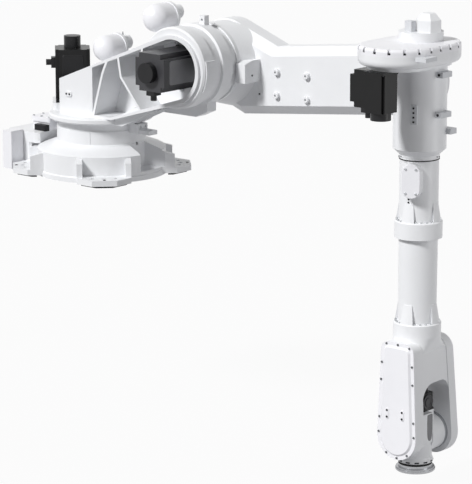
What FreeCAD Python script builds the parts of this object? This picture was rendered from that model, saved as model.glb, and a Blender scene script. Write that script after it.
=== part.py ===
import FreeCAD, Part
import math
import os

# A six-axis articulated handling robot, modelled in millimetres at its size in use.
# +X is the way the arm points, +Z is up, -Y is the side that carries the motors.
# The origin lies on the waist axis, in the mounting face under the feet.

# Axes
SHOULDER_X = 541.0
SHOULDER_Z = 522.0
ARM_REACH = 964.0
ARM_RISE = 10.0
ELBOW_OFFSET = 203.0
FOREARM_LENGTH = 1387.0
WRIST_LENGTH = 140.0

# Gaps between pieces that move past each other
SHAFT_CLEARANCE = 0.05
RUNNING_GAP = 0.3

# Base
BOLT_SPACING = 480.0
BOLT_HOLE_R = 11.0
SIDE_HOLE_R = 9.0
SIDE_BOLT_SPACING = (400.0, 536.0)
SOLE_THICKNESS = 10.0
SOLE_INSET = 18.0
FOOT_THICKNESS = 24.0
FOOT_WIDTH = 230.0
FOOT_REACH = 383.0
FOOT_CORNER = 62.0
FOOT_WALL = 24.0
FOOT_WALL_REACH = 32.0
FOOT_WALL_DROP = (5.0, 20.0)
FOOT_ROOT = 250.0
SKIRT_R = 277.0
SKIRT_HEIGHT = 102.0
SKIRT_WALL = 18.0
SKIRT_RIM = 15.0
SHOULDER_RISE = 31.0
NECK_R = 192.0
NECK_HEIGHT = 64.0
BEARING_R = 120.0
BEARING_DEPTH = 70.0
SEAL_R = 188.0
SEAL_HEIGHT = 34.0
SKIRT_LIP = (4.0, 24.0)
SKIRT_FOOT = 3.0
POCKET_TURN = 6.0
POCKET_HALF_ANGLE = 16.0
POCKET_FLOOR = 40.0
POCKET_WALL_ANGLE = 7.0
POCKET_BACK = 14.0
POCKET_STEP = 4.0
CABLE_OPENING = (120.0, 20.0)
DRAIN_HOLE_R = 7.0
DRAIN_HOLE_Z = 145.0
DRAIN_HOLE_ANGLE = 4.0
STOP_LENGTH = 53.0
STOP_WIDTH = 60.0
STOP_HEIGHT = 42.0
STOP_FINGER = (57.0, 50.0, 18.0)
STOP_CORNER = 6.0
STOP_CLEARANCE = 3.0

# Cable entry behind the base
REAR_LENGTH = 200.0
REAR_WIDTH = 280.0
REAR_HEIGHT = 158.0
REAR_CORNER = 30.0
REAR_OVERLAP = 37.0
LID_SETBACK = 78.0
LID_LENGTH = 112.0
LID_WIDTH = 134.0
LID_THICKNESS = 22.0
GLAND_INSET = 6.0
GLAND_HEIGHT = 34.0
LID_CORNER = 12.0
SMALL_CORNER = 4.0
PANEL_BOX = (55.0, 75.0, 165.0)
PANEL_BOX_INSET = 20.0

# Rotating column
DISC_R = 227.0
DISC_THICKNESS = 26.0
DISC_LIP = 6.0
SIDE_Y = -150.0
SIDE_BACK_X = -103.0
SIDE_BACK_HEIGHT = 148.0
SIDE_FOOT_X = 195.0
RIM_R = 143.0
RIM_SHIFT = (6.0, -4.0)
RIM_DEPTH = 12.0
RIM_WALL = 14.0
RIM_WALL_END = 17.0
WINDOW_BACK_X = 95.0
WINDOW_DEPTH = 130.0
WINDOW_RIB = 11.0
WINDOW_CORNER = 3.0
# Routes of the window's ribs as (X, height above the disc)
RIB_ROUTES = (
    ((WINDOW_BACK_X, 14.0), (151.0, 196.0), (190.0, 278.0)),
    ((380.0, 44.0), (257.0, 190.0), (238.0, 293.0)),
    ((372.0, 278.0), (386.0, 363.0)),
)
HUB_R = 171.0
HUB_GROOVE_R = 163.0
HUB_FLANGE_R = 173.0
HUB_BAND_Y = -75.0
HUB_GROOVE_Y = -20.0
HUB_END_Y = 37.0
HUB_PAD = 5.0
HUB_PAD_MARGIN = 12.0
REDUCER_R = 160.0
REDUCER_LENGTH = 41.0
FAR_BLOCK_Y = 120.0
FAR_BLOCK_NOSE = (300.0, 465.0, 58.0)
FAR_BLOCK_DROP = 20.0
UNDER_RIB = 10.0
UNDER_RIB_COUNT = 4
UNDER_RIB_PITCH = 32.0
UNDER_RIB_X = (150.0, DISC_R + 4.0, 300.0, 430.0)
UNDER_RIB_TOP = 330.0
# Outline of the stop housing under the shoulder, as X and Z from the shoulder axis
SHOULDER_BLOCK = ((-190.0, -216.0), (20.0, -216.0), (82.0, -189.0), (82.0, -100.0), (-190.0, -174.0))
LUG_ANGLE = 80.0
LUG_SIZE = 28.0
LUG_HEIGHT = 36.0
SIDE_PAD = (40.0, 22.0, 5.0)
SIDE_PAD_PLACE = (-48.0, 354.0)

# Servo motors: side of the square, length, corner notch, cap radius, cap length
WAIST_MOTOR = (149.0, 229.0, 14.0, 36.0, 52.0)
SHOULDER_MOTOR = (157.0, 260.0, 20.0, 42.0, 28.0)
ELBOW_MOTOR = (150.0, 140.0, 20.0, 0.0, 0.0)
ROLL_MOTOR = (97.0, 158.0, 10.0, 40.0, 31.0)
HAND_MOTOR = (84.0, 72.0, 8.0, 34.0, 12.0)
WAIST_MOTOR_X = -168.0
HAND_MOTOR_Y = 20.0
WAIST_SEAT = 29.0
WAIST_SEAT_MARGIN = 14.0
WAIST_SEAT_CORNER = 18.0
MOTOR_BAY_GAP = 8.0
PLUG_BOX = (46.0, 40.0, 18.0)
WAIST_PLUG_DROP = 40.0
PLUG_R = 13.0
PLUG_LENGTH = 22.0

# Cable elbows on the column
ELBOW_LOW = (33.0, 0.0, 540.0)
ELBOW_LOW_R = 56.0
ELBOW_HIGH = (329.0, 0.0, 697.0)
ELBOW_HIGH_R = 60.0
ELBOW_BARREL = 62.0
ELBOW_RING = 14.0
ELBOW_LIP = 4.0
ELBOW_NECK_R = 30.0
ELBOW_NECK = 60.0
ELBOW_STEM = 48.0
ELBOW_STEM_DEPTH = 215.0

# Upper arm
ARM_NEAR_Y = 165.0
ARM_DEPTH = 150.0
ARM_HEIGHT = 281.0
ARM_CHAMFER = 38.0
ARM_TILT = 6.0
ARM_HUB_R = 172.0
ARM_RAMP_X = 820.0
ARM_FOOT_X = 640.0
ARM_NECK_R = 166.0
ARM_COLLAR = 18.0
FLARE_GROWTH = 12.0
FLARE_SHIFT = (34.0, -18.0)
BOSS_SPACING = (160.0, 98.0)
BOSS_CENTRE = (928.0, 453.0)
BOSS_R = 14.0
BOSS_HEIGHT = 15.0
BOSS_HOLE_R = 5.0
BOSS_BEVEL = 2.0
ARM_STOP = (48.0, 97.0, 92.0)
ARM_STOP_PLACE = (731.0, 500.0)
ARM_STOP_SLOPE = 12.0
COVER_R = 118.0
COVER_THICKNESS = 14.0
COVER_LIP = 8.0
ELBOW_COVER_R = 92.0
ELBOW_RING_R = 112.0
ELBOW_RING_LENGTH = 35.0

# Forearm housing
HOUSING_R = 105.0
HOUSING_TOP = 113.0
HOUSING_BOTTOM = -241.0
HOUSING_NECK_R = 80.0
HOUSING_CHAMFER = 24.0
HOUSING_RING = 16.0
HOUSING_WALL = 20.0
HOUSING_GROOVE = 2.0
HOUSING_BACK = (90.0, 20.0)
BOSS_ARM_R = 110.0
BOSS_FACE_Y = 52.0
WEB_HEIGHT = 176.0
CASE_R = 157.0
CASE_SPAN = 142.0
CASE_HEIGHT = 62.0
CASE_FOOT = 36.0
CASE_EDGE = 26.0
LID_HEIGHT = 30.0
LID_EDGE = 14.0
LID_SLOTS = 21
LID_SLOT = (12.0, 10.0)
LID_SLOT_HEIGHT = 21.0
ROLL_MOTOR_INSET = 49.0
TOWER_R = 88.0
TOWER_HEIGHT = 36.0
CAP_R = 52.0
CAP_HEIGHT = 46.0
CAP_SLOPE = 26.0
CAP_SHIFT = 36.0
CAP_SIDES = 6
CAP_TURN = 15.0
CAP_TAPER = 0.55
JUNCTION_BOX = (34.0, 32.0, 42.0)
JUNCTION_SHIFT = 52.0
CLAMP_HEIGHT = 22.0
CLAMPS = ((82.0, 0.0, 62.0, 24.0), (-74.0, -3.0, 66.0, 24.0), (-148.0, 60.0, 40.0, 14.0))
PLATE_SIZE = (26.0, 8.0, 74.0)
PLATE_ANGLE = -66.0
PLATE_DROP = 72.0
CASE_BRACKET = (72.0, 30.0, 16.0)
CASE_BRACKET_SHIFT = -40.0

# Forearm tube
ROLL_SHAFT_R = 58.0
ROLL_SHAFT_LENGTH = 90.0
TUBE_R = 77.5
TUBE_WALL = 9.0
UPPER_TUBE = 247.0
FLANGE_R = 95.0
UPPER_FLANGE = 68.0
LOWER_TUBE = 341.0
LOWER_FLANGE = 53.0
GUSSET_HEIGHT = 76.0
GUSSET_POCKET = 80.0
GUSSET_TURN = 52.0
GUSSET_THICKNESS = 9.0
GUSSET_SETBACK = 5.0
FLANGE_BEVEL = 4.0
TUBE_TAPER = 2.0
HATCH_SIZE = (74.0, 136.0)
HATCH_ANGLE = 20.0
HATCH_DROP = 76.0
HATCH_PROUD = 36.0
HATCH_LID = 8.0
HATCH_BEVEL = 1.5

# Wrist
WRIST_HALF_WIDTH = 95.0
NEAR_OUTER_Y = -120.0
NEAR_INNER_Y = -72.0
FAR_INNER_Y = 112.0
FAR_OUTER_Y = 148.0
# Each lobe: rise of its round end above the tilt axis, then half width, corner radius and drop of its top
NEAR_LOBE = (23.0, 80.0, 38.0, 14.0)
FAR_LOBE = (0.0, 65.0, 60.0, 26.0)
ARCH_TOP = 230.0
ARCH_NEAR_R = 74.0
ARCH_FAR_R = 46.0
FORK_SPREAD = 64.0
FORK_WEB_INSET = 3.0
WRIST_COVER = 8.0
WRIST_PANEL = 7.0
WRIST_PANEL_INSET = 15.0
WRIST_PANEL_BEVEL = 8.0
TILT_R = 74.0
TILT_BARREL_R = 68.0
TILT_RING_R = 76.0
TILT_RING = 13.0
TILT_PANEL_X = 70.0
TILT_PANEL_Y = 18.0
TILT_PANEL_Z = (-18.0, 104.0)
TILT_PIN_R = 30.0
TILT_PIN_DEPTH = 14.0
TILT_NECK_R = 66.0
TILT_FOOT_R = 71.0
TILT_FOOT = 22.0
SEAL_BAND = 10.0
TOOL_FLANGE_R = 80.0
TOOL_FLANGE_THICKNESS = 16.0
TOOL_STEP_R = 68.0
TOOL_STEP = 12.0
TOOL_LIP = 3.0
TOOL_SHAFT_R = 30.0
TOOL_PILOT_R = 31.5
TOOL_PILOT_DEPTH = 8.0
TOOL_BOLT_R = 62.5
TOOL_BOLT_HOLE_R = 5.0
TOOL_BOLT_DEPTH = 14.0

# Places that follow from the sizes above
FOOT_TOP = SOLE_THICKNESS + FOOT_THICKNESS
SKIRT_TOP = SOLE_THICKNESS + SKIRT_HEIGHT
NECK_FOOT = SKIRT_TOP + SHOULDER_RISE
NECK_TOP = NECK_FOOT + NECK_HEIGHT
DISC_FOOT = NECK_TOP + SEAL_HEIGHT
DISC_TOP = DISC_FOOT + DISC_THICKNESS
BOLT_CIRCLE_R = BOLT_SPACING / math.sqrt(2)
SEAT_TOP = DISC_TOP + WAIST_SEAT
RIM_X = SHOULDER_X + RIM_SHIFT[0]
RIM_Z = SHOULDER_Z + RIM_SHIFT[1]
WEB_Y = SIDE_Y + WINDOW_DEPTH
REDUCER_END_Y = HUB_END_Y + REDUCER_LENGTH - RUNNING_GAP
ARM_HUB_Y = HUB_END_Y + REDUCER_LENGTH
ARM_FAR_Y = ARM_NEAR_Y + ARM_DEPTH
ELBOW_X = SHOULDER_X + ARM_REACH
ELBOW_Z = SHOULDER_Z + ARM_RISE
ELBOW_RING_Y = ARM_NEAR_Y - ELBOW_RING_LENGTH
BOSS_END_Y = ELBOW_RING_Y - RUNNING_GAP
FOREARM_X = ELBOW_X + ELBOW_OFFSET
CASE_Z = ELBOW_Z + HOUSING_TOP
CASE_TOP = CASE_Z + CASE_HEIGHT
LID_TOP = CASE_TOP + LID_HEIGHT
ROLL_MOTOR_Y = ROLL_MOTOR_INSET - CASE_R - CASE_SPAN
HOUSING_FOOT = ELBOW_Z + HOUSING_BOTTOM - HOUSING_RING
TUBE_TOP = HOUSING_FOOT - RUNNING_GAP
UPPER_FLANGE_TOP = TUBE_TOP - UPPER_TUBE
UPPER_FLANGE_FOOT = UPPER_FLANGE_TOP - UPPER_FLANGE
LOWER_FLANGE_TOP = UPPER_FLANGE_FOOT - LOWER_TUBE
LOWER_FLANGE_FOOT = LOWER_FLANGE_TOP - LOWER_FLANGE
TILT_Z = ELBOW_Z - FOREARM_LENGTH
TOOL_FACE_Z = TILT_Z - WRIST_LENGTH
TOOL_TOP_Z = TOOL_FACE_Z + TOOL_FLANGE_THICKNESS + TOOL_STEP
ARM_HALF = ARM_HEIGHT / 2 / math.cos(math.radians(ARM_TILT))


def vector(x, y, z):
    return FreeCAD.Vector(x, y, z)


def box(x, y, z):
    """A block between two values on each axis."""
    return Part.makeBox(x[1] - x[0], y[1] - y[0], z[1] - z[0], vector(x[0], y[0], z[0]))


def rod(radius, start, end):
    """A cylinder from one point to another."""
    span = end - start
    return Part.makeCylinder(radius, span.Length, start, span)


def upright(radius, x, y, z):
    """A vertical cylinder between two heights."""
    return rod(radius, vector(x, y, z[0]), vector(x, y, z[1]))


def crosswise(radius, x, z, y):
    """A cylinder along Y between two values of Y."""
    return rod(radius, vector(x, y[0], z), vector(x, y[1], z))


def turned(profile, centre=(0.0, 0.0, 0.0), axis=(0.0, 0.0, 1.0)):
    """A closed outline of (radius, height) points turned about an axis through centre."""
    points = [vector(r, 0, h) for r, h in profile]
    face = Part.Face(Part.makePolygon(points + points[:1]))
    solid = face.revolve(vector(0, 0, 0), vector(0, 0, 1), 360)
    turn = FreeCAD.Rotation(vector(0, 0, 1), vector(*axis))
    solid.Placement = FreeCAD.Placement(vector(*centre), turn)
    return solid


def rounded(circles):
    """The wire drawn tight round circles (u, v, radius), listed anticlockwise."""
    count = len(circles)
    leave, arrive = [], []
    for k in range(count):
        (u0, v0, r0), (u1, v1, r1) = circles[k], circles[(k + 1) % count]
        length = math.hypot(u1 - u0, v1 - v0)
        du, dv = (u1 - u0) / length, (v1 - v0) / length
        lean = (r0 - r1) / length
        side = math.sqrt(1 - lean * lean)
        nu, nv = du * lean + dv * side, dv * lean - du * side
        leave.append((u0 + nu * r0, v0 + nv * r0, math.atan2(nv, nu)))
        arrive.append((u1 + nu * r1, v1 + nv * r1, math.atan2(nv, nu)))
    edges = []
    for k in range(count):
        u, v, r = circles[k]
        start, end = arrive[k - 1], leave[k]
        if r > 0:
            middle = start[2] + ((end[2] - start[2]) % (2 * math.pi)) / 2
            through = vector(u + r * math.cos(middle), 0, v + r * math.sin(middle))
            first, last = vector(start[0], 0, start[1]), vector(end[0], 0, end[1])
            edges.append(Part.Arc(first, through, last).toShape())
        last = arrive[k]
        edges.append(Part.makeLine(vector(end[0], 0, end[1]), vector(last[0], 0, last[1])))
    return Part.Wire(edges)


def slab(circles, y):
    """A flat plate in the XZ plane, between two values of Y."""
    face = Part.Face(rounded(circles))
    face.translate(vector(0, y[0], 0))
    return face.extrude(vector(0, y[1] - y[0], 0))


def plate(circles, z):
    """A flat plate in the XY plane, between two heights."""
    solid = slab(circles, (-z[1], -z[0]))
    solid.rotate(vector(0, 0, 0), vector(1, 0, 0), -90)
    return solid


def corners(x, y, radius=0.0):
    """Four corner circles of a rectangle, anticlockwise."""
    return [
        (x[0] + radius, y[0] + radius, radius),
        (x[1] - radius, y[0] + radius, radius),
        (x[1] - radius, y[1] - radius, radius),
        (x[0] + radius, y[1] - radius, radius),
    ]


def sector(r_in, r_out, half_angle, z):
    """Part of a ring about the waist axis, centred on +X."""
    ring = upright(r_out, 0, 0, z).cut(upright(r_in, 0, 0, z))
    far = 2 * r_out
    side = far * math.tan(math.radians(half_angle))
    wedge = plate([(0, 0, 0), (far, -side, 0), (far, side, 0)], z)
    return ring.common(wedge)


def turned_about_z(shape, angle):
    """A copy of a shape turned about the waist axis."""
    copy = shape.copy()
    copy.rotate(vector(0, 0, 0), vector(0, 0, 1), angle)
    return copy


def in_a_ring(shape, count, first=0.0):
    """Copies of a shape spaced evenly about the waist axis."""
    return [turned_about_z(shape, first + 360.0 * k / count) for k in range(count)]


def join(shapes):
    """All shapes fused into one solid."""
    return shapes[0].multiFuse(shapes[1:]).removeSplitter()


def moved(shape, x, y, z):
    copy = shape.copy()
    copy.translate(vector(x, y, z))
    return copy


# Base


def foot_outline(inset=0.0, start=FOOT_ROOT):
    half = FOOT_WIDTH / 2 - inset
    reach = FOOT_REACH - inset
    return [
        (start, -half, 0),
        (reach - FOOT_CORNER, -half, 0),
        (reach, -half + FOOT_CORNER, 0),
        (reach, half - FOOT_CORNER, 0),
        (reach - FOOT_CORNER, half, 0),
        (start, half, 0),
    ]


def foot_holes(z):
    """The main bolt hole of a foot that points along +X, with a smaller one on each side."""
    short, long = SIDE_BOLT_SPACING
    x, y = (long + short) / 2 / math.sqrt(2), (long - short) / 2 / math.sqrt(2)
    sides = [upright(SIDE_HOLE_R, x, side * y, z) for side in (-1, 1)]
    return [upright(BOLT_HOLE_R, BOLT_CIRCLE_R, 0, z)] + sides


def foot():
    pad = plate(foot_outline(), (SOLE_THICKNESS, FOOT_TOP))
    reach = SKIRT_R + FOOT_WALL_REACH
    profile = [
        (FOOT_ROOT, FOOT_TOP, 0),
        (reach, FOOT_TOP, 0),
        (reach, SKIRT_TOP - FOOT_WALL_DROP[1], 0),
        (FOOT_ROOT, SKIRT_TOP - FOOT_WALL_DROP[0], 0),
    ]
    half = FOOT_WIDTH / 2
    walls = [slab(profile, (y, y + FOOT_WALL)) for y in (-half, half - FOOT_WALL)]
    return join([pad] + walls).cut(Part.makeCompound(foot_holes((0, SKIRT_TOP))))


def base_outline():
    lip, lip_height = SKIRT_LIP
    return [
        (0, SKIRT_FOOT),
        (SKIRT_R + lip, SKIRT_FOOT),
        (SKIRT_R + lip, SKIRT_FOOT + lip_height - lip),
        (SKIRT_R, SKIRT_FOOT + lip_height),
        (SKIRT_R, SKIRT_TOP),
        (SKIRT_R - SKIRT_RIM, SKIRT_TOP + SKIRT_RIM / 2),
        (NECK_R + SKIRT_RIM / 2, NECK_FOOT),
        (NECK_R, NECK_FOOT + SKIRT_RIM / 2),
        (NECK_R, NECK_TOP),
        (0, NECK_TOP),
    ]


def base_hollow():
    inner = SKIRT_R - SKIRT_WALL
    return [
        (0, SKIRT_FOOT),
        (inner, SKIRT_FOOT),
        (inner, SKIRT_TOP - SKIRT_WALL),
        (BEARING_R + SKIRT_WALL, NECK_FOOT - SKIRT_WALL),
        (BEARING_R + SKIRT_WALL, NECK_TOP),
        (0, NECK_TOP),
    ]


def base_casting():
    body = turned(base_outline())
    shell = body.cut(turned(base_hollow()))
    back_r = NECK_R - POCKET_BACK
    block_z = (SKIRT_FOOT, NECK_FOOT + SKIRT_RIM)
    block = sector(back_r, SKIRT_R, POCKET_HALF_ANGLE + POCKET_WALL_ANGLE, block_z)
    block = turned_about_z(block, POCKET_TURN).common(body)
    shell = join([shell, block] + in_a_ring(foot(), 4, 45.0))
    pocket_z = (POCKET_FLOOR, NECK_FOOT + SKIRT_RIM)
    pocket = sector(NECK_R + POCKET_STEP, SKIRT_R + POCKET_BACK, POCKET_HALF_ANGLE, pocket_z)
    shell = shell.cut(turned_about_z(pocket, POCKET_TURN))
    drain = rod(DRAIN_HOLE_R, vector(0, 0, DRAIN_HOLE_Z), vector(SKIRT_R, 0, DRAIN_HOLE_Z))
    shell = shell.cut(turned_about_z(drain, DRAIN_HOLE_ANGLE))
    width, margin = CABLE_OPENING
    opening_z = (SKIRT_FOOT + margin, SKIRT_TOP - margin)
    return shell.cut(box((-2 * REAR_LENGTH, 0), (-width / 2, width / 2), opening_z))


def sole_plates():
    start = SKIRT_R + SKIRT_LIP[0] + RUNNING_GAP
    sole = plate(foot_outline(SOLE_INSET, start), (0, SOLE_THICKNESS))
    for hole in foot_holes((0, SOLE_THICKNESS)):
        sole = sole.cut(hole)
    return Part.makeCompound(in_a_ring(sole, 4, 45.0))


def waist_bearing():
    """The reducer ring that carries the column, in the top of the base."""
    outer = BEARING_R + SKIRT_WALL
    return turned([
        (BEARING_R, NECK_TOP - BEARING_DEPTH),
        (outer, NECK_TOP - BEARING_DEPTH),
        (outer, NECK_TOP),
        (SEAL_R, NECK_TOP),
        (SEAL_R, DISC_FOOT - RUNNING_GAP),
        (BEARING_R, DISC_FOOT - RUNNING_GAP),
    ])


def waist_stop():
    top = DISC_FOOT - STOP_CLEARANCE
    foot_z = top - STOP_HEIGHT
    start = NECK_R - SKIRT_RIM
    half = STOP_WIDTH / 2
    block = plate(corners((start, NECK_R + STOP_LENGTH), (-half, half), STOP_CORNER), (foot_z, top))
    length, width, thick = STOP_FINGER
    finger_x = (NECK_R, NECK_R + STOP_LENGTH + length)
    finger = box(finger_x, (-width / 2, width / 2), (foot_z, foot_z + thick))
    solid = join([block, finger])
    keep = upright(NECK_R, 0, 0, (0, NECK_TOP)).fuse(upright(SEAL_R, 0, 0, (NECK_TOP, DISC_FOOT)))
    return solid.cut(keep)


def rear_x():
    return (-SKIRT_R + REAR_OVERLAP - REAR_LENGTH, -SKIRT_R + REAR_OVERLAP)


def rear_housing():
    half = REAR_WIDTH / 2
    solid = plate(corners(rear_x(), (-half, half), REAR_CORNER), (SOLE_THICKNESS, REAR_HEIGHT))
    solid = solid.cut(upright(SKIRT_R, 0, 0, (0, REAR_HEIGHT)))
    wall = SKIRT_WALL / 2
    x = (rear_x()[0] + wall, rear_x()[1])
    inside = plate(corners(x, (-half + wall, half - wall), REAR_CORNER - wall), (0, REAR_HEIGHT - wall))
    solid = solid.cut(inside.cut(upright(SKIRT_R + wall, 0, 0, (0, REAR_HEIGHT))))
    lip, lip_height = SKIRT_LIP
    solid = solid.cut(upright(SKIRT_R + lip + RUNNING_GAP, 0, 0, (0, SKIRT_FOOT + lip_height)))
    foot_room = plate(foot_outline(-RUNNING_GAP), (0, SKIRT_TOP + RUNNING_GAP))
    return solid.cut(Part.makeCompound(in_a_ring(foot_room, 4, 45.0)))


def gland_box():
    half = LID_WIDTH / 2 - GLAND_INSET
    x0 = rear_x()[0] + LID_SETBACK + GLAND_INSET
    x1 = rear_x()[0] + LID_SETBACK + LID_LENGTH - GLAND_INSET
    return plate(corners((x0, x1), (-half, half), SMALL_CORNER), (REAR_HEIGHT, REAR_HEIGHT + GLAND_HEIGHT))


def rear_lid():
    half = LID_WIDTH / 2
    foot_z = REAR_HEIGHT + GLAND_HEIGHT
    x = (rear_x()[0] + LID_SETBACK, rear_x()[0] + LID_SETBACK + LID_LENGTH)
    return plate(corners(x, (-half, half), LID_CORNER), (foot_z, foot_z + LID_THICKNESS))


def panel_box():
    """The upright socket box at the near rear corner of the base."""
    x1 = rear_x()[0] + REAR_CORNER + PANEL_BOX_INSET + PANEL_BOX[0]
    y1 = -REAR_WIDTH / 2
    outline = corners((x1 - PANEL_BOX[0], x1), (y1 - PANEL_BOX[1], y1), SMALL_CORNER)
    return plate(outline, (0, PANEL_BOX[2]))


# Servo motors


def servo(size):
    """A servo motor with its shaft end at the origin and its cap towards +Z."""
    side, length, notch, cap_r, cap_length = size
    half = side / 2
    body = box((-half, half), (-half, half), (0, length))
    flange = side / 12
    for u in (-1, 1):
        for v in (-1, 1):
            cut = box((0, notch), (0, notch), (flange, length))
            cut = moved(cut, u * half - (notch if u > 0 else 0), v * half - (notch if v > 0 else 0), 0)
            body = body.cut(cut)
    cap = upright(cap_r, 0, 0, (length, length + cap_length)) if cap_r else None
    return body, cap


def servo_plug(size, drop):
    """The connector box on a motor's side, with its round plug."""
    side, length = size[0], size[1]
    reach, width, depth = PLUG_BOX
    half = side / 2
    top = length - drop
    block = box((half, half + depth), (-width / 2, width / 2), (top - reach, top))
    start = vector(half + depth, 0, top - reach / 2)
    stub = rod(PLUG_R, start, start + vector(PLUG_LENGTH, 0, 0))
    return join([block, stub])


def placed(shape, place, direction, roll=0.0):
    """Turn a motor piece from +Z to a direction and move it to its place."""
    copy = shape.copy()
    copy.rotate(vector(0, 0, 0), vector(0, 0, 1), roll)
    turn = FreeCAD.Rotation(vector(0, 0, 1), vector(*direction))
    copy.Placement = FreeCAD.Placement(vector(*place), turn).multiply(copy.Placement)
    return copy


# Column


def side_outline():
    """The near side of the column: a low back end drawn up to the shoulder rim."""
    return [
        (SIDE_BACK_X, DISC_TOP, 0),
        (SIDE_FOOT_X, DISC_TOP, 0),
        (RIM_X, RIM_Z, RIM_R),
        (SIDE_BACK_X, DISC_TOP + SIDE_BACK_HEIGHT, 0),
    ]


def top_edge_at(x):
    """Height of the sloping top edge of the column's side."""
    u, v = RIM_X - SIDE_BACK_X, RIM_Z - DISC_TOP - SIDE_BACK_HEIGHT
    slope = math.atan2(v, u) + math.asin(RIM_R / math.hypot(u, v))
    return DISC_TOP + SIDE_BACK_HEIGHT + (x - SIDE_BACK_X) * math.tan(slope)


def window_outline():
    return [
        (WINDOW_BACK_X, DISC_TOP + RIM_WALL, WINDOW_CORNER),
        (SIDE_FOOT_X, DISC_TOP + RIM_WALL, WINDOW_CORNER),
        (RIM_X, RIM_Z, RIM_R - RIM_WALL_END),
        (WINDOW_BACK_X, top_edge_at(WINDOW_BACK_X) - RIM_WALL, WINDOW_CORNER),
    ]


def window_ribs():
    """Two leaning ribs with a short one beside them, as deep as the window."""
    ribs = []
    for route in RIB_ROUTES:
        for start, end in zip(route, route[1:]):
            half = WINDOW_RIB / 2
            ends = [(x, DISC_TOP + z, half) for x, z in (start, end)]
            ribs.append(slab(ends, (SIDE_Y, WEB_Y)))
    inside = slab(side_outline(), (SIDE_Y, WEB_Y))
    return [rib.common(inside) for rib in ribs]


def hub_profile():
    """Bands of the shoulder hub: (radius, Y)."""
    start = SIDE_Y + RIM_DEPTH
    lip = HUB_R - HUB_GROOVE_R
    return [
        (0, start),
        (HUB_GROOVE_R, start),
        (HUB_R, start + lip),
        (HUB_R, HUB_BAND_Y),
        (HUB_GROOVE_R, HUB_BAND_Y + lip),
        (HUB_GROOVE_R, HUB_GROOVE_Y - lip / 2),
        (HUB_FLANGE_R, HUB_GROOVE_Y),
        (HUB_FLANGE_R, HUB_END_Y),
        (0, HUB_END_Y),
    ]


def about_shoulder(profile):
    return turned(profile, (SHOULDER_X, 0, SHOULDER_Z), (0, 1, 0))


def hub_pad():
    """The raised pad on the front of the hub's first band."""
    start = SIDE_Y + RIM_DEPTH + HUB_PAD_MARGIN
    end = HUB_BAND_Y + HUB_PAD
    outer = HUB_R + HUB_PAD
    ring = about_shoulder([(HUB_GROOVE_R, start), (outer, start), (outer, end), (HUB_GROOVE_R, end)])
    z = (SHOULDER_Z - HUB_R / 2, SHOULDER_Z + HUB_R / 4)
    front = box((SHOULDER_X, SHOULDER_X + 2 * HUB_R), (SIDE_Y, 0), z)
    return ring.common(front)


def far_block():
    """The far half of the column, lower and shorter than the near side."""
    nose_x, nose_z, nose_r = FAR_BLOCK_NOSE
    outline = [
        (SIDE_BACK_X, DISC_TOP, 0),
        (SIDE_FOOT_X, DISC_TOP, 0),
        (nose_x, nose_z, nose_r),
        (SIDE_BACK_X, DISC_TOP + SIDE_BACK_HEIGHT - FAR_BLOCK_DROP, 0),
    ]
    return slab(outline, (HUB_END_Y, FAR_BLOCK_Y))


def under_ribs():
    """Slanting ribs between the disc and the underside of the shoulder."""
    back, foot_x, top_back, top_x = UNDER_RIB_X
    foot_line = [(back, DISC_FOOT, 0), (foot_x, DISC_FOOT, 0)]
    outline = foot_line + [(top_x, UNDER_RIB_TOP, 0), (top_back, UNDER_RIB_TOP, 0)]
    first = SIDE_Y + 3 * UNDER_RIB
    return [
        slab(outline, (first + k * UNDER_RIB_PITCH, first + k * UNDER_RIB_PITCH + UNDER_RIB))
        for k in range(UNDER_RIB_COUNT)
    ]


def motor_seat():
    half = WAIST_MOTOR[0] / 2 + WAIST_SEAT_MARGIN
    seat = plate(corners((-half, half), (-half, half), WAIST_SEAT_CORNER), (DISC_FOOT + DISC_LIP, SEAT_TOP))
    seat.rotate(vector(0, 0, 0), vector(0, 0, 1), 45)
    return moved(seat, WAIST_MOTOR_X, 0, 0)


def motor_bay():
    half = WAIST_MOTOR[0] / 2 + MOTOR_BAY_GAP
    bay = box((-half, half), (-half, half), (SEAT_TOP, SEAT_TOP + 2 * WAIST_MOTOR[1]))
    bay.rotate(vector(0, 0, 0), vector(0, 0, 1), 45)
    return moved(bay, WAIST_MOTOR_X, 0, 0)


def column_casting():
    disc = turned([
        (0, DISC_FOOT),
        (DISC_R - DISC_LIP, DISC_FOOT),
        (DISC_R, DISC_FOOT + DISC_LIP),
        (DISC_R, DISC_TOP - DISC_LIP),
        (DISC_R - DISC_LIP, DISC_TOP),
        (0, DISC_TOP),
    ])
    spigot_foot = NECK_TOP - BEARING_DEPTH / 2
    spigot = upright(BEARING_R - SHAFT_CLEARANCE, 0, 0, (spigot_foot, DISC_FOOT))
    side = slab(side_outline(), (SIDE_Y, HUB_END_Y))
    hub = about_shoulder(hub_profile())
    solid = join([disc, spigot, side, hub, hub_pad(), far_block(), motor_seat()])
    window = slab(window_outline(), (SIDE_Y, WEB_Y))
    solid = solid.cut(window).cut(motor_bay())
    solid = join([solid] + window_ribs() + under_ribs())
    pad_u, pad_v, pad_t = SIDE_PAD
    x, z = SIDE_PAD_PLACE
    ends = [(x - (pad_u - pad_v) / 2, z, pad_v / 2), (x + (pad_u - pad_v) / 2, z, pad_v / 2)]
    return join([solid, slab(ends, (SIDE_Y - pad_t, SIDE_Y))])


def shoulder_reducer():
    return crosswise(REDUCER_R, SHOULDER_X, SHOULDER_Z, (HUB_END_Y, REDUCER_END_Y))


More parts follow.
